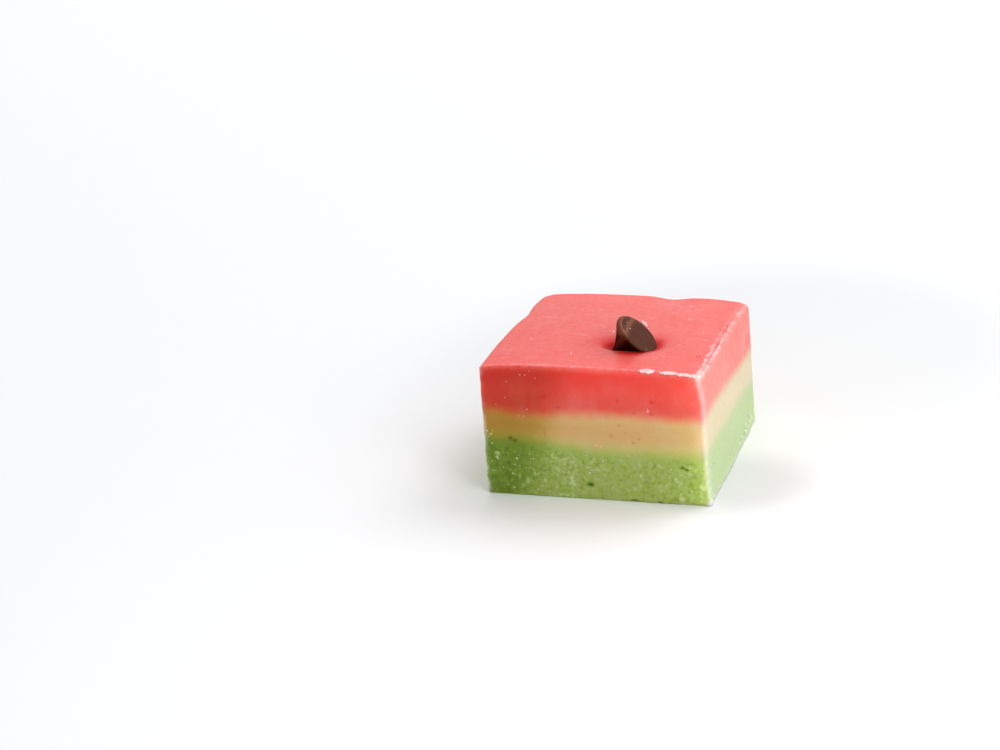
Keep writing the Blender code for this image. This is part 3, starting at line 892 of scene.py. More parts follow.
def rim_stations(count):
    """Points round the edge of the unit square, from its front left corner to the right, so many a side."""
    t = np.linspace(-1, 1, count + 1)[:-1]
    edge = np.ones(count)
    u = np.concatenate([t, edge, -t, -edge])
    v = np.concatenate([-edge, t, edge, -t])
    return u, v


def grid_cap(count, first):
    """Unit grid: its points, its faces and the numbers of the points on its rim."""
    t = np.linspace(-1, 1, count + 1)
    u, v = [a.ravel() for a in np.meshgrid(t, t)]
    index = np.arange((count + 1) ** 2).reshape(count + 1, count + 1) + first
    faces = np.stack([index[:-1, :-1], index[:-1, 1:], index[1:, 1:], index[1:, :-1]], axis=-1).reshape(-1, 4)
    rim = np.concatenate([index[0, :-1], index[:-1, -1], index[-1, :0:-1], index[:0:-1, 0]])
    return u, v, faces, rim


def strip(upper, lower):
    """Quads between two rings of points, facing out."""
    return np.stack([lower, np.roll(lower, -1), np.roll(upper, -1), upper], axis=-1)


class LayerMesh:
    """Gathers the points, faces and marks of one layer."""

    def __init__(self):
        self.points, self.marks, self.faces = [], [], []
        self.count = 0

    def add(self, points, faces_way, rough=True):
        """Adds points, with relief if they show, and returns their numbers."""
        marks = Marks(len(points))
        if rough:
            out, marks = relief(points, faces_way)
            points = points + faces_way * out[:, None]
            points[:, 2] = np.maximum(points[:, 2], 0.0)
        self.points.append(points)
        self.marks.append(marks)
        numbers = np.arange(self.count, self.count + len(points))
        self.count += len(points)
        return numbers

    def object(self, name, finish):
        """The finished mesh object, with its marks as attributes for the finish."""
        points = np.concatenate(self.points)
        u, v = points[:, 0] / (WIDTH / 2), points[:, 1] / (DEPTH / 2)
        values = {mark: np.concatenate([getattr(m, mark) for m in self.marks]) for mark in Marks.NAMES}
        values["above_pink_line"] = (points[:, 2] - pink_line(u, v)) / MM
        values["above_green_line"] = (points[:, 2] - green_line(u, v)) / MM
        mesh = bpy.data.meshes.new(name)
        mesh.from_pydata(leaning(points), [], [list(face) for group in self.faces for face in group])
        for mark, numbers in values.items():
            add_mark(mesh, mark, numbers)
        return placed(name, mesh, finish)


def add_mark(mesh, name, values):
    """Gives a mesh a number for each point, which its finish reads."""
    attribute = mesh.attributes.new(name, "FLOAT", "POINT")
    attribute.data.foreach_set("value", values.astype(np.float32))


def placed(name, mesh, finish):
    """Links a mesh as a smooth piece of the fudge, within the box of its solids, with its finish."""
    places = np.empty(3 * len(mesh.vertices))
    mesh.vertices.foreach_get("co", places)
    places = np.clip(places.reshape(-1, 3), CAD_LOW, CAD_HIGH)
    mesh.vertices.foreach_set("co", places.ravel())
    mesh.shade_smooth()
    mesh.set_sharp_from_angle(angle=SMOOTH_ANGLE)
    piece = bpy.data.objects.new(name, mesh)
    bpy.context.scene.collection.objects.link(piece)
    mesh.materials.append(finish)
    return piece


def cells_of(settings):
    return round(WIDTH / settings.mesh_step)


def add_walls(layer, ring, u, v, heights):
    """Adds rows of wall under a ring of points, and returns the last ring."""
    for z in heights:
        lower = layer.add(*wall_points(u, v, z))
        layer.faces.append(strip(ring, lower))
        ring = lower
    return ring


def add_fan(layer, ring, z, up):
    """Closes a layer where it lies on the next one."""
    middle = layer.add(np.array([(0.0, 0.0, float(z))]), np.array([(0.0, 0.0, 1.0)]), rough=False)[0]
    nexts = np.roll(ring, -1)
    hub = np.full(len(ring), middle)
    layer.faces.append(np.stack([ring, nexts, hub] if up else [nexts, ring, hub], axis=-1))


def even_rows(high, low, step):
    """Rows of heights from just under high down to low."""
    count = max(2, round(float(np.max(high - low)) / step))
    return [mix(high, low, k / count) for k in range(1, count + 1)]


class Shader:
    """Short ways to add and join nodes of one material."""

    def __init__(self, name):
        self.material = bpy.data.materials.new(name)
        self.material.use_nodes = True
        self.tree = self.material.node_tree
        self.surface = self.tree.nodes["Principled BSDF"]

    def node(self, kind, **settings):
        made = self.tree.nodes.new("ShaderNode" + kind)
        for key, value in settings.items():
            setattr(made, key, value)
        return made

    def join(self, source, target):
        self.tree.links.new(source, target)

    def put(self, socket, value):
        """A value or a link, whichever this is."""
        if isinstance(value, bpy.types.NodeSocket):
            self.join(value, socket)
        elif socket.type == "RGBA":
            socket.default_value = (*value, 1.0)
        else:
            socket.default_value = value

    def set(self, name, value):
        """Sets a value of the surface, or joins a node to it."""
        self.put(self.surface.inputs[name], value)

    def mark(self, name):
        return self.node("Attribute", attribute_name=name).outputs["Fac"]

    def place(self):
        return self.node("TexCoord").outputs["Object"]

    def noise(self, size, detail=2.0, roughness=0.5):
        """Noise with features of this size in metres."""
        texture = self.node("TexNoise")
        texture.inputs["Scale"].default_value = 1 / size
        texture.inputs["Detail"].default_value = detail
        texture.inputs["Roughness"].default_value = roughness
        self.join(self.place(), texture.inputs["Vector"])
        return texture.outputs["Fac"]

    def distance_from(self, centre):
        made = self.node("VectorMath", operation="DISTANCE")
        self.join(self.place(), made.inputs[0])
        made.inputs[1].default_value = centre
        return made.outputs["Value"]

    def step(self, value, low, high, to_low=0.0, to_high=1.0):
        """Smooth step of a value between two limits."""
        made = self.node("MapRange", interpolation_type="SMOOTHSTEP")
        self.put(made.inputs["Value"], value)
        for socket, number in zip(("From Min", "From Max", "To Min", "To Max"), (low, high, to_low, to_high)):
            made.inputs[socket].default_value = number
        return made.outputs["Result"]

    def reckon(self, kind, *values):
        made = self.node("Math", operation=kind)
        for socket, value in zip(made.inputs, values):
            self.put(socket, value)
        return made.outputs[0]

    def plus(self, a, b):
        return self.reckon("ADD", a, b)

    def times(self, a, b):
        return self.reckon("MULTIPLY", a, b)

    def blend(self, share, a, b, kind="MIX"):
        made = self.node("Mix", data_type="RGBA", blend_type=kind)
        self.put(made.inputs["Factor"], share)
        self.put(made.inputs[6], a)
        self.put(made.inputs[7], b)
        return made.outputs[2]

    def deeper(self, colour, power):
        """The colour raised to a power: deeper and darker, as painted shade and as painted light through the
        fudge.
        """
        made = self.node("Gamma")
        self.put(made.inputs["Color"], colour)
        self.put(made.inputs["Gamma"], power)
        return made.outputs["Color"]

    def bump(self, height, distance, strength):
        made = self.node("Bump")
        self.put(made.inputs["Strength"], strength)
        made.inputs["Distance"].default_value = distance
        self.put(made.inputs["Height"], height)
        return made.outputs["Normal"]


def fudge_finish(name, colours):
    """Finish of one layer, which blends softly into its neighbours at the layer lines.

    Light travels inside it, less and less towards the layer lines, because it can't cross from one piece into
    the next.
    """
    roughness, glow, glow_depth = LAYER_FINISHES[name]
    s = Shader(name)
    above_pink, above_green = s.mark("above_pink_line"), s.mark("above_green_line")
    wobble = s.step(s.noise(2.5 * MM), 0.2, 0.8, -0.2, 0.2)
    over_pink = s.plus(above_pink, wobble)
    in_pink = s.step(over_pink, *PINK_BLEND)
    colour = s.blend(in_pink, colours.cream, colours.pink)
    colour = s.blend(s.step(s.plus(above_green, wobble), *GREEN_BLEND), colours.green, colour)
    # The poured top is paler: partly its own smoother skin, partly painted light on the lit top
    colour = s.blend(s.mark("poured"), colour, colours.poured)
    pale = s.blend(in_pink, colours.milky, colours.rubbed)

    # Cloudy and fine variation, as in any cooked sugar paste
    colour = s.blend(s.step(s.noise(3.5 * MM), 0.4, 0.75, 0.0, 0.04), colour, colours.milky)
    colour = s.blend(s.step(s.noise(0.4 * MM), 0.3, 0.7, 0.0, 0.04), colour, BLACK)

    # Painted light and shade deepen the colour: shade in hollows, between grains and at the left end, and
    # light shining through in the band under the front top edge
    crumbly, deep, shade, lit = s.mark("crumbly"), s.mark("deep"), s.mark("shade"), s.mark("lit")
    fine = s.times(crumbly, s.step(s.noise(0.5 * MM, 3.0), 0.3, 0.7, -1.1, 1.1))
    grain = s.plus(s.times(s.mark("grain"), 0.8), fine)
    soak = s.step(over_pink, *PINK_BLEND, 0.47, 0.28)
    depth = s.plus(deep, s.step(grain, 0.1, -1.3, 1.0, 1.3))
    colour = s.deeper(colour, s.plus(depth, s.times(shade, soak)))
    mottle = s.step(s.noise(0.9 * MM, 3.0, 0.6), 0.42, 0.68, 0.0, 0.25)
    colour = s.blend(s.times(mottle, crumbly), colour, colours.sugar)
    colour = s.blend(s.step(grain, 0.4, 1.2, 0.0, 0.75), colour, colours.sugar)

    # Painted light and shade on the front face, and painted shade in the green pits; then what lies on it:
    # the painted sheen of the right-hand face, and pale wear
    low = s.times(s.step(above_pink, 4.0, 0.5), s.mark("cut_front"))
    in_green = s.step(above_green, 0.5, -1.5)
    tints = (
        (low, LOW_PINK_SHADE_TINT),
        (lit, LIT_TINT),
        (s.times(lit, in_green), LIT_GREEN_TINT),
        (shade, SHADE_TINT),
        (s.times(shade, in_green), SHADE_GREEN_TINT),
        (s.times(s.step(deep, 0.5, 1.4), in_green), PIT_SHADE_TINT),
    )
    for share, tint in tints:
        colour = s.blend(share, colour, tint, "MULTIPLY")
    colour = s.blend(s.mark("painted_sheen"), colour, colours.painted_sheen)
    s.set("Base Color", s.blend(s.times(s.mark("pale"), 0.75), colour, pale))

    # Satin, and duller in the hollows
    rough = s.step(s.noise(0.8 * MM, 3.0), 0.3, 0.7, roughness - 0.06, roughness + 0.06)
    s.set("Roughness", s.plus(rough, s.step(deep, 0.3, 1.3, 0.0, 0.4)))
    s.set("IOR", 1.46)
    s.set("Specular IOR Level", 0.4)
    s.set("Subsurface Radius", glow)
    s.set("Subsurface Scale", MM)
    from_lines = [s.step(s.reckon("ABSOLUTE", above), 0.1, glow_depth) for above in (above_pink, above_green)]
    s.set("Subsurface Weight", s.times(*from_lines))
    grit = s.step(s.mark("poured"), 0.0, 1.0, 0.5, 0.12)
    s.set("Normal", s.bump(s.noise(0.2 * MM, 3.0, 0.6), 0.015 * MM, grit))
    return s.material


def crumb_finish(name, colour, shade):
    """Finish of loose crumbs and grains: dull and uneven."""
    s = Shader(name)
    s.set("Base Color", s.blend(s.step(s.noise(0.5 * MM), 0.3, 0.7), colour, shade))
    s.set("Roughness", s.step(s.noise(0.3 * MM), 0.3, 0.7, 0.4, 0.6))
    s.set("Normal", s.bump(s.noise(0.1 * MM), 0.01 * MM, 0.5))
    s.set("Subsurface Weight", 0.5)
    s.set("Subsurface Radius", (0.5, 0.4, 0.3))
    s.set("Subsurface Scale", 0.25 * MM)
    return s.material


class FudgeSettings(bpy.types.PropertyGroup):
    """Sizes and colours of the fudge that a user would change."""

    mesh_step: FloatProperty(
        name="Mesh step", description="Distance between points of the fine surface",
        default=0.15 * MM, min=0.05 * MM, precision=5, unit="LENGTH",
    )
    pink: FloatVectorProperty(
        name="Pink", description="Colour of the cut pink layer",
        default=(0.84, 0.078, 0.053), size=3, subtype="COLOR",
    )
    # Paler than the cut pink: partly the smoother poured skin, partly painted light on the lit top
    poured: FloatVectorProperty(
        name="Poured pink", description="Colour of the smooth poured top",
        default=(0.875, 0.124, 0.106), size=3, subtype="COLOR",
    )
    cream: FloatVectorProperty(
        name="Cream", description="Colour of the middle layer",
        default=(0.71, 0.42, 0.163), size=3, subtype="COLOR",
    )
    green: FloatVectorProperty(
        name="Green", description="Colour of the bottom layer",
        default=(0.385, 0.45, 0.09), size=3, subtype="COLOR",
    )
    grains: IntProperty(name="Grains", description="Sugar grains on the front face", default=45, min=1)
    sugar: FloatVectorProperty(
        name="Sugar", description="Colour of the sugar grains",
        default=(0.56, 0.63, 0.33), size=3, subtype="COLOR",
    )
    sugar_shade: FloatVectorProperty(
        name="Sugar shade", description="Darker colour within the sugar grains",
        default=(0.40, 0.50, 0.18), size=3, subtype="COLOR",
    )
    crumb: FloatVectorProperty(
        name="Crumb", description="Colour of the dried pink crumbs",
        default=(0.93, 0.82, 0.80), size=3, subtype="COLOR",
    )
    crumb_shade: FloatVectorProperty(
        name="Crumb shade", description="Darker colour within the dried pink crumbs",
        default=(0.92, 0.64, 0.62), size=3, subtype="COLOR",
    )
    brown: FloatVectorProperty(
        name="Brown crumb", description="Colour of the few toasted crumbs",
        default=(0.95, 0.3, 0.13), size=3, subtype="COLOR",
    )
    brown_shade: FloatVectorProperty(
        name="Brown crumb shade", description="Darker colour within the toasted crumbs",
        default=(0.85, 0.21, 0.09), size=3, subtype="COLOR",
    )
    stray: FloatVectorProperty(
        name="Stray crumb", description="Colour of the pink crumbs on the front and along the edges",
        default=(0.99, 0.44, 0.40), size=3, subtype="COLOR",
    )
    stray_shade: FloatVectorProperty(
        name="Stray crumb shade", description="Deeper colour within the pink crumbs",
        default=(0.99, 0.30, 0.26), size=3, subtype="COLOR",
    )
    foot_crumb: FloatVectorProperty(
        name="Foot crumb", description="Colour of the pale lumps low on the right-hand face",
        default=(0.70, 0.78, 0.62), size=3, subtype="COLOR",
    )
    cream_crumb: FloatVectorProperty(
        name="Cream crumb", description="Colour of the cream crumbs at the left-hand edge",
        default=(0.74, 0.62, 0.36), size=3, subtype="COLOR",
    )
    # Painted sheen: the pale colour of the right-hand face stands for the glare of light across it
    painted_sheen: FloatVectorProperty(
        name="Dry face", description="Colour of the bloom on the drier right-hand face",
        default=(0.60, 0.90, 0.80), size=3, subtype="COLOR",
    )
    milky: FloatVectorProperty(
        name="Milky", description="Colour of the worn edges of the cream and green layers",
        default=(0.94, 0.88, 0.87), size=3, subtype="COLOR",
    )
    rubbed: FloatVectorProperty(
        name="Rubbed pink", description="Colour of the worn edges and scuffs of the pink layer",
        default=(0.94, 0.74, 0.76), size=3, subtype="COLOR",
    )


class ChipSettings(bpy.types.PropertyGroup):
    """Size, lean and colours of the chocolate chip."""

    diameter: FloatProperty(
        name="Diameter", description="Width of the chip's bulge just behind its flat base",
        default=6.94 * MM, precision=4, unit="LENGTH",
    )
    length: FloatProperty(
        name="Length", description="From the flat base to the tip",
        default=5.3 * MM, precision=4, unit="LENGTH",
    )
    bend: FloatProperty(
        name="Bend", description="How far the tip is drawn aside",
        default=1.0 * MM, precision=4, unit="LENGTH",
    )
    tilt: FloatProperty(
        name="Tilt", description="Lean of the flat base to the right",
        default=math.radians(45), subtype="ANGLE",
    )
    sides: IntProperty(name="Sides", description="Faces round the chip", default=112, min=24)
    colour: FloatVectorProperty(
        name="Chocolate", description="Colour of the chocolate",
        default=(0.074, 0.0195, 0.0088), size=3, subtype="COLOR",
    )
    # Painted shade on the chip: under the overhanging rim and low on its left side
    shaded: FloatVectorProperty(
        name="Shaded chocolate", description="Deep colour of the chocolate turned away from the light",
        default=(0.022, 0.0022, 0.0004), size=3, subtype="COLOR",
    )
    # Painted light: colour that stands for light through the thin lower edge, on the lit left shoulder and
    # along the crease
    painted_light: FloatVectorProperty(
        name="Warm chocolate", description="Colour where light comes through its thin lower edge",
        default=(0.165, 0.042, 0.014), size=3, subtype="COLOR",
    )
    worn: FloatVectorProperty(
        name="Worn chocolate", description="Paler cloudy patches of the chocolate",
        default=(0.11, 0.036, 0.020), size=3, subtype="COLOR",
    )
    # Colour of the real scuff across the base, and of the painted highlights on the left rim and shoulder
    bloom: FloatVectorProperty(
        name="Bloom", description="Colour of the rubbed edges and the scuff across the base",
        default=(0.27, 0.108, 0.062), size=3, subtype="COLOR",
    )


class StageSettings(bpy.types.PropertyGroup):
    """Floor and studio light."""

    floor: FloatVectorProperty(
        name="Floor", description="Colour of the plain pale floor",
        default=(0.97, 0.98, 1.0), size=3, subtype="COLOR",
    )
    # Painted shade on the floor behind the fudge
    floor_shade_behind: FloatVectorProperty(
        name="Floor near", description="Colour of the floor just behind the fudge",
        default=(0.88, 0.89, 0.90), size=3, subtype="COLOR",
    )
    # Painted shade on the floor beside the right-hand face
    floor_shade_right: FloatVectorProperty(
        name="Floor at the right", description="Colour of the floor beside the right-hand face",
        default=(0.72, 0.722, 0.745), size=3, subtype="COLOR",
    )
    key: FloatProperty(
        name="Key light", description="Power of the large light at the right",
        default=1.9, min=0.0, unit="POWER",
    )
    fill: FloatProperty(
        name="Fill light", description="Power of the near light in front",
        default=0.043, min=0.0, unit="POWER",
    )
    back: FloatProperty(
        name="Back light", description="Power of the light over the floor far behind",
        default=0.9, min=0.0, unit="POWER",
    )
    sky: FloatProperty(
        name="Surroundings", description="Strength of the white surroundings",
        default=0.52, min=0.0,
    )
    backdrop: FloatProperty(
        name="Backdrop", description="Added strength of the surroundings on their brightest side",
        default=0.65, min=0.0,
    )


def own(piece, node):
    """The piece stands for its node and moves with the body."""
    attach(piece, "root")
    if node:
        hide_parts(node)


def middle_height(line):
    """Height of a layer line in the middle of the block."""
    return line(np.zeros(1), np.zeros(1))[0]


def own_layer(layer, node, slot, settings):
    own(layer.object(slot, fudge_finish(slot, settings)), node)


class FUDGE_OT_pink_layer(bpy.types.Operator):
    """Poured pink layer, with its smooth top, worn edges and hollow for the chip"""

    bl_idname = "fudge.pink_layer"
    bl_label = "Pink layer"

    def execute(self, context):
        settings = context.scene.fudge
        layer = LayerMesh()
        u, v, faces, ring = grid_cap(cells_of(settings), 0)
        layer.add(*top_points(u, v))
        layer.faces.append(faces)
        u, v = rim_stations(cells_of(settings))
        top, radius = top_height(u, v), edge_radius(u, v)
        angles = [math.pi / 2 * (1 - k / (ROUND_ROWS + 1)) for k in range(1, ROUND_ROWS + 2)]
        ring = add_walls(layer, ring, u, v, [top - radius + radius * math.sin(a) for a in angles])
        ring = add_walls(layer, ring, u, v, even_rows(top - radius, pink_line(u, v), settings.mesh_step))
        add_fan(layer, ring, middle_height(pink_line) + LAYER_LAP, up=False)
        own_layer(layer, "pink_layer", "pink_fudge", settings)
        return {"FINISHED"}


class FUDGE_OT_cream_layer(bpy.types.Operator):
    """Thin cream layer between the other two"""

    bl_idname = "fudge.cream_layer"
    bl_label = "Cream layer"

    def execute(self, context):
        settings = context.scene.fudge
        layer = LayerMesh()
        u, v = rim_stations(cells_of(settings))
        high, low = pink_line(u, v), green_line(u, v)
        ring = layer.add(*wall_points(u, v, high))
        add_fan(layer, ring, middle_height(pink_line) - LAYER_LAP, up=True)
        ring = add_walls(layer, ring, u, v, even_rows(high, low, settings.mesh_step))
        add_fan(layer, ring, middle_height(green_line) + LAYER_LAP, up=False)
        own_layer(layer, "cream_layer", "cream_fudge", settings)
        return {"FINISHED"}


class FUDGE_OT_green_layer(bpy.types.Operator):
    """Crumbly green layer that the square stands on"""

    bl_idname = "fudge.green_layer"
    bl_label = "Green layer"

    def execute(self, context):
        settings = context.scene.fudge
        layer = LayerMesh()
        u, v = rim_stations(cells_of(settings))
        high = green_line(u, v)
        ring = layer.add(*wall_points(u, v, high))
        add_fan(layer, ring, middle_height(green_line) - LAYER_LAP, up=True)
        foot = np.full_like(high, FOOT_RADIUS)
        ring = add_walls(layer, ring, u, v, even_rows(high, foot, settings.mesh_step))
        ring = add_walls(layer, ring, u, v, [foot * share for share in FOOT_ROWS])
        add_fan(layer, ring, 0.0, up=False)
        own_layer(layer, "green_layer", "green_fudge", settings)
        return {"FINISHED"}


def chip_outline(rows):
    """Shares of length and radius along the chip's outline, in even steps from its base to its tip."""
    outline = np.array([(0.0, 0.0), *CHIP_OUTLINE])
    length = np.concatenate([[0.0], np.cumsum(np.hypot(*np.diff(outline, axis=0).T))])
    t = np.linspace(0, length[-1], rows)
    along, out = np.interp(t, length, outline[:, 0]), np.interp(t, length, outline[:, 1])
    along[1:-1] = (along[:-2] + 2 * along[1:-1] + along[2:]) / 4
    out[1:-1] = (out[:-2] + 2 * out[1:-1] + out[2:]) / 4
    return along, out


def past_crease(share, angle):
    """Turn from the crease to each point: more than 0 on the hollow side, less on the chip's left."""
    past = angle - mix(CREASE_AT_BASE, CREASE_AT_TIP, share**2)
    return (past + math.pi) % math.tau - math.pi


def hollow_side(past):
    return ease(*HOLLOW_STARTS, past) * ease(*HOLLOW_ENDS, past)


class ChipForm:
    """Rings of points round the chip, from its flat base to its tip, in its own axes."""

    def __init__(self, settings):
        along, out = chip_outline(CHIP_ROWS)
        turn = np.linspace(-math.pi, math.pi, settings.sides, endpoint=False)
        share, angle = [grid.ravel() for grid in np.meshgrid(along[1:-1], turn, indexing="ij")]
        radius = np.repeat(out[1:-1], settings.sides)
        self.crisp = hollow_side(past_crease(share, angle))
        crisp_radius = mix(radius, np.minimum(radius, CRISP_RIM_RADIUS), self.crisp)
        radius = np.where(share < CRISP_RIM_REACH, crisp_radius, radius)
        share = np.maximum(share - CRISP_RIM_RISE * self.crisp, 0.0)
        self.share, self.past = share, past_crease(share, angle)
        self.hollow = hollow_side(self.past) * ease(0.01, 0.12, share) * ease(1.0, 0.6, share)
        self.ridge = hump(self.past, CREASE_RIDGE_WIDTH) * ease(0.05, 0.1, share)
        radius = radius * (1 - CREASE_HOLLOW * self.hollow + CREASE_RIDGE * self.ridge)
        across, up = radius * np.cos(angle), radius * np.sin(angle)
        bent = np.maximum(share - CHIP_BEND_START, 0.0) / (1 - CHIP_BEND_START)
        aside = settings.bend * bent**2
        half = settings.diameter / 2
        self.body = np.stack([across * half - aside, up * half, -share * settings.length], axis=1)
        self.body[:, :2] *= 1 + CHIP_SWELL * noise(self.body, CHIP_SWELL_SIZE, 60)[:, None]
        self.body[:, 2] += CHIP_WAVE * noise(self.body, CHIP_WAVE_SIZE, 61)

    def mesh(self, settings):
        """Closed mesh of the rings, the middle of the base and the tip."""
        tip = (-settings.bend, 0.0, -settings.length)
        points = np.concatenate([[(0.0, 0.0, 0.0)], self.body, [tip]])
        rings = np.arange(len(self.body)).reshape(-1, settings.sides) + 1
        last = len(points) - 1
        faces = [[0, a, b] for a, b in zip(rings[0], np.roll(rings[0], -1))]
        for upper, lower in zip(rings, rings[1:]):
            faces.extend(strip(upper, lower))
        faces.extend([last, b, a] for a, b in zip(rings[-1], np.roll(rings[-1], -1)))
        mesh = bpy.data.meshes.new("chocolate")
        mesh.from_pydata(points, [], [[int(n) for n in face] for face in faces])
        return mesh

    def marks(self, tilt):
        """Where the chip is rubbed, with painted highlights on its left rim and shoulder; where shade is
        painted on it;
        and where painted light stands for light through its thin edge, on its lit shoulder and along its
        crease.
        """
        x, y, z = self.body.T
        share, past = self.share, self.past
        height = CHIP_CENTRE.z - math.sin(tilt) * x + math.cos(tilt) * z
        bent = SCUFF_BEND * (SCUFF_BEND_FROM - y) ** 2
        scuff = hump(x - SCUFF_PLACE - bent, SCUFF_WIDTH) * ease(0.02, 0.005, share)
        on_left = ease(*LEFT_SIDE_STARTS, past) * ease(*LEFT_SIDE_ENDS, past)
        from_middle = np.hypot(x, y)
        rim = hump(from_middle - RIM_HIGHLIGHT_RADIUS, RIM_HIGHLIGHT_WIDTH) * on_left * ease(0.03, 0.01, share)
        lit_shoulder = on_left * ease(*LIT_SHOULDER_RADIUS, from_middle) * ease(0.5, 0.3, share)
        lit_shoulder = lit_shoulder * ease(*LIT_SHOULDER_HEIGHT, height)
        low = ease(*LOW_SHADE_STARTS, past) * ease(0.02, 0.05, share) * ease(*LOW_SHADE_HEIGHT, height)
        ridge = self.ridge * ease(0.95, 0.8, share)
        lit_rim = hump(share - 0.05, 0.02) * self.crisp
        # The rubbed mark: the real scuff, with painted highlights on the left rim and shoulder. The shade:
        # painted shade under the overhanging rim and low on the left side, less on the crease. Then painted
        # light through the thin lower edge, on the lit shoulder, and a painted highlight on the crease.
        return {
            "worn": 0.85 * scuff + 1.2 * rim + 0.25 * lit_shoulder,
            "shade": np.clip(np.maximum(self.hollow, 0.85 * low), 0, 1) * (1 - 0.7 * ridge),
            "painted_light": np.clip(0.3 * lit_rim + 0.8 * lit_shoulder + 0.3 * ridge, 0, 1),
        }


class FUDGE_OT_chip(bpy.types.Operator):
    """Chocolate chip lying on its side in the pink layer"""

    bl_idname = "fudge.chip"
    bl_label = "Chocolate chip"

    def execute(self, context):
        settings = context.scene.fudge_chip
        form = ChipForm(settings)
        mesh = form.mesh(settings)
        for name, values in form.marks(settings.tilt).items():
            add_mark(mesh, name, np.concatenate([[0.0], values, [0.0]]))
        mesh.transform(Matrix.LocRotScale(CHIP_CENTRE, Matrix.Rotation(settings.tilt, 3, "Y"), None))
        own(placed("chocolate", mesh, chocolate_finish(settings)), "chocolate_chip")
        return {"FINISHED"}


def chocolate_finish(settings):
    """Dark chocolate, satin, paler where it rubbed against others, with painted highlights, painted light and
    painted shade from its marks.
    """
    s = Shader("chocolate")
    cloud = s.step(s.noise(1.0 * MM, 4.0, 0.6), 0.35, 0.75, 0.0, 0.4)
    colour = s.blend(cloud, settings.colour, settings.worn)
    colour = s.blend(s.mark("shade"), colour, settings.shaded)
    colour = s.blend(s.mark("painted_light"), colour, settings.painted_light)
    worn = s.times(s.mark("worn"), s.step(s.noise(0.35 * MM, 3.0), 0.25, 0.7, 0.35, 0.9))
    s.set("Base Color", s.blend(worn, colour, settings.bloom))
    s.set("Roughness", s.step(s.noise(0.5 * MM, 3.0), 0.3, 0.7, 0.45, 0.6))
    s.set("IOR", 1.5)
    s.set("Specular IOR Level", 0.05)
    s.set("Normal", s.bump(s.noise(0.12 * MM, 3.0), 0.01 * MM, 0.5))
    return s.material


def surface(u, v, z):
    """Places on the cut faces with their relief, and which way they face."""
    points, faces_way = wall_points(u, v, z)
    out, _ = relief(points, faces_way)
    return leaning(points + faces_way * out[:, None]), faces_way


def top_surface(x, y):
    """Places on the poured top."""
    u, v = x / (WIDTH / 2), y / (DEPTH / 2)
    return leaning(np.stack([x, y, top_height(u, v) - hollow_depth(x, y)], axis=1))


def lumps_mesh(name, places, sizes, draws, uneven=0.5, detail=2, turned=True):
    """One mesh of many uneven lumps, each with its own three sizes, turned any way or lying as given."""
    bm = bmesh.new()
    bmesh.ops.create_icosphere(bm, subdivisions=detail, radius=1.0)
    ball = np.array([v.co for v in bm.verts])
    ball_faces = np.array([[v.index for v in f.verts] for f in bm.faces])
    bm.free()
    points, faces = [], []
    for number, (place, size) in enumerate(zip(places, sizes)):
        turn = np.identity(3)
        if turned:
            axis = Vector(draws.normal(size=3)).normalized()
            turn = np.array(Matrix.Rotation(draws.uniform(0, math.tau), 3, axis))
        swell = 1 + uneven * noise(ball * (size / np.min(size)) + 7.0 * number, 0.8, 70)
        points.append((ball * swell[:, None] * size) @ turn.T + place)
        faces.append(ball_faces + number * len(ball))
    mesh = bpy.data.meshes.new(name)
    mesh.from_pydata(np.concatenate(points), [], np.concatenate(faces).tolist())
    return mesh


def paired(spots, draws):
    """Makes each spot a larger and a smaller lump that overlap: two coordinates and a half size."""
    first, second, half = np.repeat(spots, 2, axis=0).T
    shift = draws.uniform(-0.8, 0.8, (2, len(half))) * half
    shift[:, ::2] = 0.0
    shrink = draws.uniform(0.6, 0.8, len(half))
    shrink[::2] = 1.0
    return first + shift[0], np.maximum(second + shift[1], 0.3 * MM), half * shrink


def sizes_of(draws, count, middle, spread):
    """Three half sizes for each lump, long, broad and thin."""
    size = middle * np.exp(spread * draws.normal(size=count))
    return size[:, None] * SCATTERED_FORM


def sunk_in_front(spots, draws, sink):
    """Pairs of lumps sunk into the front face by a share of their size, and their half sizes."""
    along, high, half = paired(np.array(spots) * MM, draws)
    place, faces_way = surface(along / (WIDTH / 2), -np.ones(len(along)), high)
    return place - faces_way * half[:, None] * sink, half[:, None]


def own_crumbs(name, slot, places, sizes, draws, finish, **how):
    own(placed(name, lumps_mesh(name, places, sizes, draws, **how), finish), None)


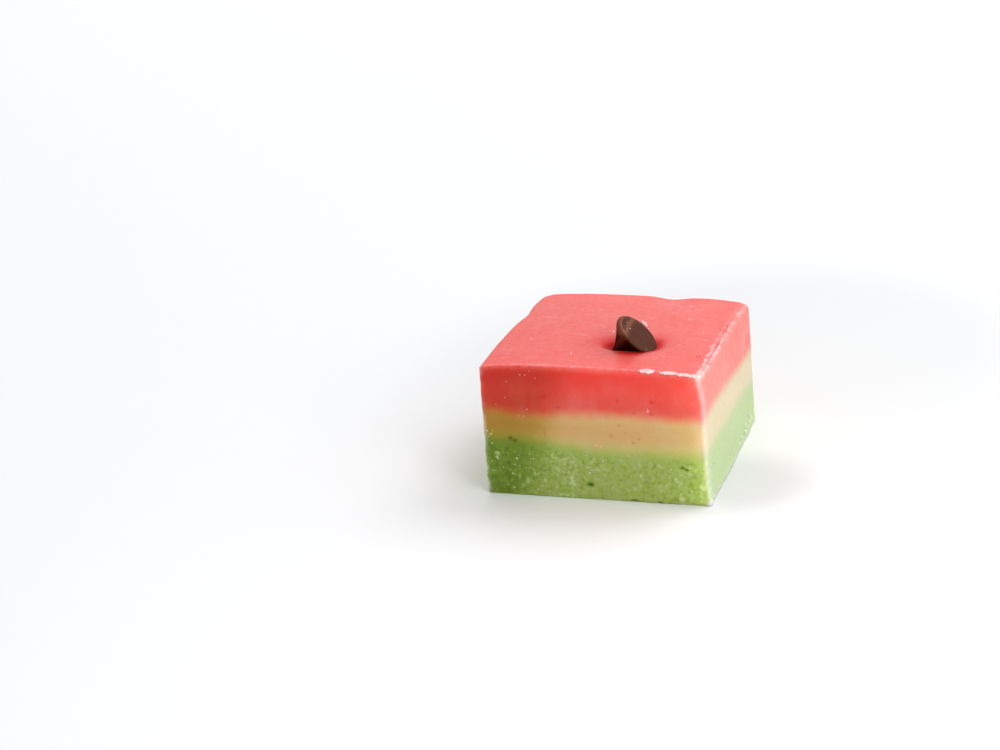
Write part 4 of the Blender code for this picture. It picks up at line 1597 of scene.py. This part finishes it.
class FUDGE_OT_sugar_grains(bpy.types.Operator):
    """Pale sugar grains that stand in the cut green faces, and pale lumps low on the right-hand one"""

    bl_idname = "fudge.sugar_grains"
    bl_label = "Sugar grains"

    def execute(self, context):
        settings = context.scene.fudge
        draws = np.random.default_rng(11)
        places, sizes = [], []
        for side, share in GRAIN_SHARES.items():
            count = round(settings.grains * share)
            along = draws.uniform(-0.97, 0.97, count)
            u = np.where(side[0], side[0], along)
            v = np.where(side[1], side[1], along)
            z = green_line(u, v) - 1.2 * MM - draws.gamma(2.0, 1.3 * MM, count)
            z = np.where(z > 0.4 * MM, z, draws.uniform(0.4 * MM, 5.5 * MM, count))
            size = sizes_of(draws, count, GRAIN_SIZE, 0.3)
            place, faces_way = surface(u, v, z)
            places.append(place - faces_way * size[:, :1] * GRAIN_SINK)
            sizes.append(size)
        place, half = sunk_in_front(FRONT_GRAINS, draws, FRONT_GRAIN_SINK)
        places, sizes = np.concatenate([*places, place]), np.concatenate([*sizes, half * GRAIN_FORM])
        finish = crumb_finish("sugar_grains", settings.sugar, settings.sugar_shade)
        own_crumbs("sugar_grains", "green_fudge", places, sizes, draws, finish)

        along, high, half = paired(np.array(RIGHT_LUMPS) * MM, draws)
        place, faces_way = surface(np.ones(len(along)), along / (DEPTH / 2), high)
        places, sizes = place - faces_way * half[:, None] * FOOT_CRUMB_SINK, half[:, None] * FOOT_CRUMB_FORM
        finish = crumb_finish("foot_crumbs", settings.foot_crumb, settings.sugar)
        own_crumbs("foot_crumbs", "green_fudge", places, sizes, draws, finish, uneven=0.3)
        return {"FINISHED"}


class FUDGE_OT_edge_crumbs(bpy.types.Operator):
    """Pale flakes pushed up on the front top edge, and white specks on the top and the chip"""

    bl_idname = "fudge.edge_crumbs"
    bl_label = "Edge crumbs"

    def execute(self, context):
        settings = context.scene.fudge
        draws = np.random.default_rng(12)
        finish = crumb_finish("edge_flakes", settings.crumb, settings.crumb_shade)
        middle, length, height = np.array(FLAKES).T
        places = top_surface(middle, np.full(len(middle), FLAKE_INSET - DEPTH / 2)) - (0, 0, FLAKE_SINK)
        long, broad, high = FLAKE_FORM
        sizes = np.stack([long * length, np.full(len(middle), broad), high * height], axis=1)
        lying = {"uneven": 0.3, "detail": 4, "turned": False}
        own_crumbs("edge_flakes", "pink_fudge", places, sizes, draws, finish, **lying)

        x, y, half = (np.array(TOP_SPECKS) * MM).T
        chip_x, chip_y, chip_half = (np.array(CHIP_SPECKS) * MM).T
        tilt = Matrix.Rotation(context.scene.fudge_chip.tilt, 3, "Y")
        on_chip = [CHIP_CENTRE + tilt @ Vector((across, along, 0.0)) for across, along in zip(chip_x, chip_y)]
        places = np.concatenate([top_surface(x, y), np.array(on_chip)])
        sizes = np.concatenate([half, chip_half])[:, None] * SPECK_FORM
        own_crumbs("white_specks", "pink_fudge", places, sizes, draws, finish)
        return {"FINISHED"}


class FUDGE_OT_stray_crumbs(bpy.types.Operator):
    """Pink crumbs on the front and the right-hand edge, cream ones at the left, and a few brown ones"""

    bl_idname = "fudge.stray_crumbs"
    bl_label = "Stray crumbs"

    def execute(self, context):
        settings = context.scene.fudge
        draws = np.random.default_rng(13)
        on_front, half = sunk_in_front(PINK_CRUMBS, draws, CRUMB_SINK)
        y = RIDGE_START + RIDGE_LENGTH * draws.uniform(0, 1, RIDGE_CRUMBS) ** 1.4
        inward = mix(*RIDGE_INWARD, ease(RIDGE_START, 0.0, y)) + draws.normal(0, 0.1 * MM, RIDGE_CRUMBS)
        on_ridge = top_surface(WIDTH / 2 - inward, y) - (0, 0, RIDGE_CRUMB_SINK)
        sizes = np.concatenate([half * CRUMB_FORM, sizes_of(draws, RIDGE_CRUMBS, RIDGE_CRUMB_SIZE, 0.3)])
        finish = crumb_finish("pink_crumbs", settings.stray, settings.stray_shade)
        own_crumbs("pink_crumbs", "pink_fudge", np.concatenate([on_front, on_ridge]), sizes, draws, finish)

        places, half = sunk_in_front(CREAM_CRUMBS, draws, CRUMB_SINK)
        finish = crumb_finish("cream_crumbs", settings.cream_crumb, settings.cream)
        own_crumbs("cream_crumbs", "cream_fudge", places, half * CRUMB_FORM, draws, finish)

        x, y, half = (np.array(BROWN_CRUMBS) * MM).T
        along, high, side_half = np.array([BROWN_SIDE_CRUMB]).T * MM
        on_side, _ = surface(np.ones(1), along / (DEPTH / 2), high)
        places = np.concatenate([top_surface(x, y), on_side])
        sizes = np.concatenate([half, side_half])[:, None] * BROWN_FORM
        finish = crumb_finish("brown_crumbs", settings.brown, settings.brown_shade)
        own_crumbs("brown_crumbs", "cream_fudge", places, sizes, draws, finish)
        return {"FINISHED"}


class FUDGE_OT_stage(bpy.types.Operator):
    """Plain pale floor, soft studio light and the photograph's camera"""

    bl_idname = "fudge.stage"
    bl_label = "Stage"

    def execute(self, context):
        settings = context.scene.fudge_stage
        scene = context.scene
        bm = bmesh.new()
        bmesh.ops.create_circle(bm, cap_ends=True, segments=96, radius=FLOOR_REACH)
        mesh = bpy.data.meshes.new("floor")
        bm.to_mesh(mesh)
        bm.free()
        floor = bpy.data.objects.new("floor", mesh)
        scene.collection.objects.link(floor)
        mesh.materials.append(floor_finish(settings))

        middle = Vector((0.0, 0.0, HEIGHT / 2))
        under_back = Vector((*BACK_LIGHT[0][:2], 0.0))
        light("key", *KEY_LIGHT, settings.key, middle)
        light("fill", *FILL_LIGHT, settings.fill, middle)
        light("back", *BACK_LIGHT, settings.back, under_back)
        scene.world = surroundings(settings)

        lens = bpy.data.cameras.new("camera")
        lens.lens = CAMERA_LENS
        lens.sensor_width = CAMERA_SENSOR
        lens.clip_start = 0.01
        camera = bpy.data.objects.new("camera", lens)
        scene.collection.objects.link(camera)
        turn = Matrix.Rotation(CAMERA_AZIMUTH, 4, "Z")
        lean = Matrix.Rotation(math.pi / 2 - CAMERA_ELEVATION, 4, "X")
        roll = Matrix.Rotation(-CAMERA_ROLL, 4, "Z")
        camera.matrix_world = Matrix.Translation(CAMERA_PLACE) @ (turn @ lean) @ roll
        scene.camera = camera
        scene.view_settings.view_transform = "Standard"
        return {"FINISHED"}


def floor_finish(settings):
    """Plain pale floor, with painted shade behind the fudge and beside its right-hand face."""
    s = Shader("floor")
    colour = settings.floor
    painted_shades = {FLOOR_SHADE_BEHIND: settings.floor_shade_behind, FLOOR_SHADE_RIGHT: settings.floor_shade_right}
    for (place, outer, inner), shade_colour in painted_shades.items():
        colour = s.blend(s.step(s.distance_from(place), outer, inner), colour, shade_colour)
    s.set("Base Color", s.blend(s.step(s.noise(4 * MM, 3.0), 0.3, 0.7, 0.0, 0.02), colour, FLOOR_GREY))
    s.set("Roughness", 0.8)
    return s.material


def surroundings(settings):
    """White surroundings, brighter low down behind and to the right."""
    world = bpy.data.worlds.new("surroundings")
    world.use_nodes = True
    tree = world.node_tree
    background = tree.nodes["Background"]
    direction = tree.nodes.new("ShaderNodeTexCoord").outputs["Generated"]
    toward = tree.nodes.new("ShaderNodeVectorMath")
    toward.operation = "DOT_PRODUCT"
    toward.inputs[1].default_value = Vector(BRIGHT_SIDE).normalized()
    tree.links.new(direction, toward.inputs[0])
    strength = tree.nodes.new("ShaderNodeMapRange")
    strength.interpolation_type = "SMOOTHSTEP"
    tree.links.new(toward.outputs["Value"], strength.inputs["Value"])
    bright = settings.sky + settings.backdrop
    limits = {"From Min": 0.0, "From Max": 0.9, "To Min": settings.sky, "To Max": bright}
    for socket, value in limits.items():
        strength.inputs[socket].default_value = value
    tree.links.new(strength.outputs["Result"], background.inputs["Strength"])
    background.inputs["Color"].default_value = (*WHITE, 1.0)
    return world


def light(name, place, size, colour, power, target):
    """Large soft light that points at its target."""
    lamp = bpy.data.lights.new(name, "AREA")
    lamp.shape = "DISK"
    lamp.size = size
    lamp.energy = power
    lamp.color = colour
    made = bpy.data.objects.new(name, lamp)
    bpy.context.scene.collection.objects.link(made)
    made.location = place
    made.visible_camera = False
    aim = target - Vector(place)
    made.rotation_euler = aim.to_track_quat("-Z", "Y").to_euler()


class FUDGE_PT_panel(bpy.types.Panel):
    """Buttons for each piece and for the stage"""

    bl_label = "Watermelon fudge"
    bl_idname = "FUDGE_PT_panel"
    bl_space_type = "VIEW_3D"
    bl_region_type = "UI"
    bl_category = "Fudge"

    def draw(self, context):
        for settings in (context.scene.fudge, context.scene.fudge_chip, context.scene.fudge_stage):
            box = self.layout.box()
            for name in type(settings).__annotations__:
                box.prop(settings, name)
        for maker in MAKERS:
            self.layout.operator(maker.bl_idname)


MAKERS = (
    FUDGE_OT_pink_layer,
    FUDGE_OT_cream_layer,
    FUDGE_OT_green_layer,
    FUDGE_OT_chip,
    FUDGE_OT_sugar_grains,
    FUDGE_OT_edge_crumbs,
    FUDGE_OT_stray_crumbs,
    FUDGE_OT_stage,
)
CLASSES = (FudgeSettings, ChipSettings, StageSettings, *MAKERS, FUDGE_PT_panel)


def register():
    for made in CLASSES:
        bpy.utils.register_class(made)
    bpy.types.Scene.fudge = PointerProperty(type=FudgeSettings)
    bpy.types.Scene.fudge_chip = PointerProperty(type=ChipSettings)
    bpy.types.Scene.fudge_stage = PointerProperty(type=StageSettings)


def unregister():
    del bpy.types.Scene.fudge_stage
    del bpy.types.Scene.fudge_chip
    del bpy.types.Scene.fudge
    for made in reversed(CLASSES):
        bpy.utils.unregister_class(made)


def main():
    register()
    bpy.ops.fudge.pink_layer()
    bpy.ops.fudge.cream_layer()
    bpy.ops.fudge.green_layer()
    bpy.ops.fudge.chip()
    bpy.ops.fudge.sugar_grains()
    bpy.ops.fudge.edge_crumbs()
    bpy.ops.fudge.stray_crumbs()
    bpy.ops.fudge.stage()


if __name__ == "__main__":
    main()
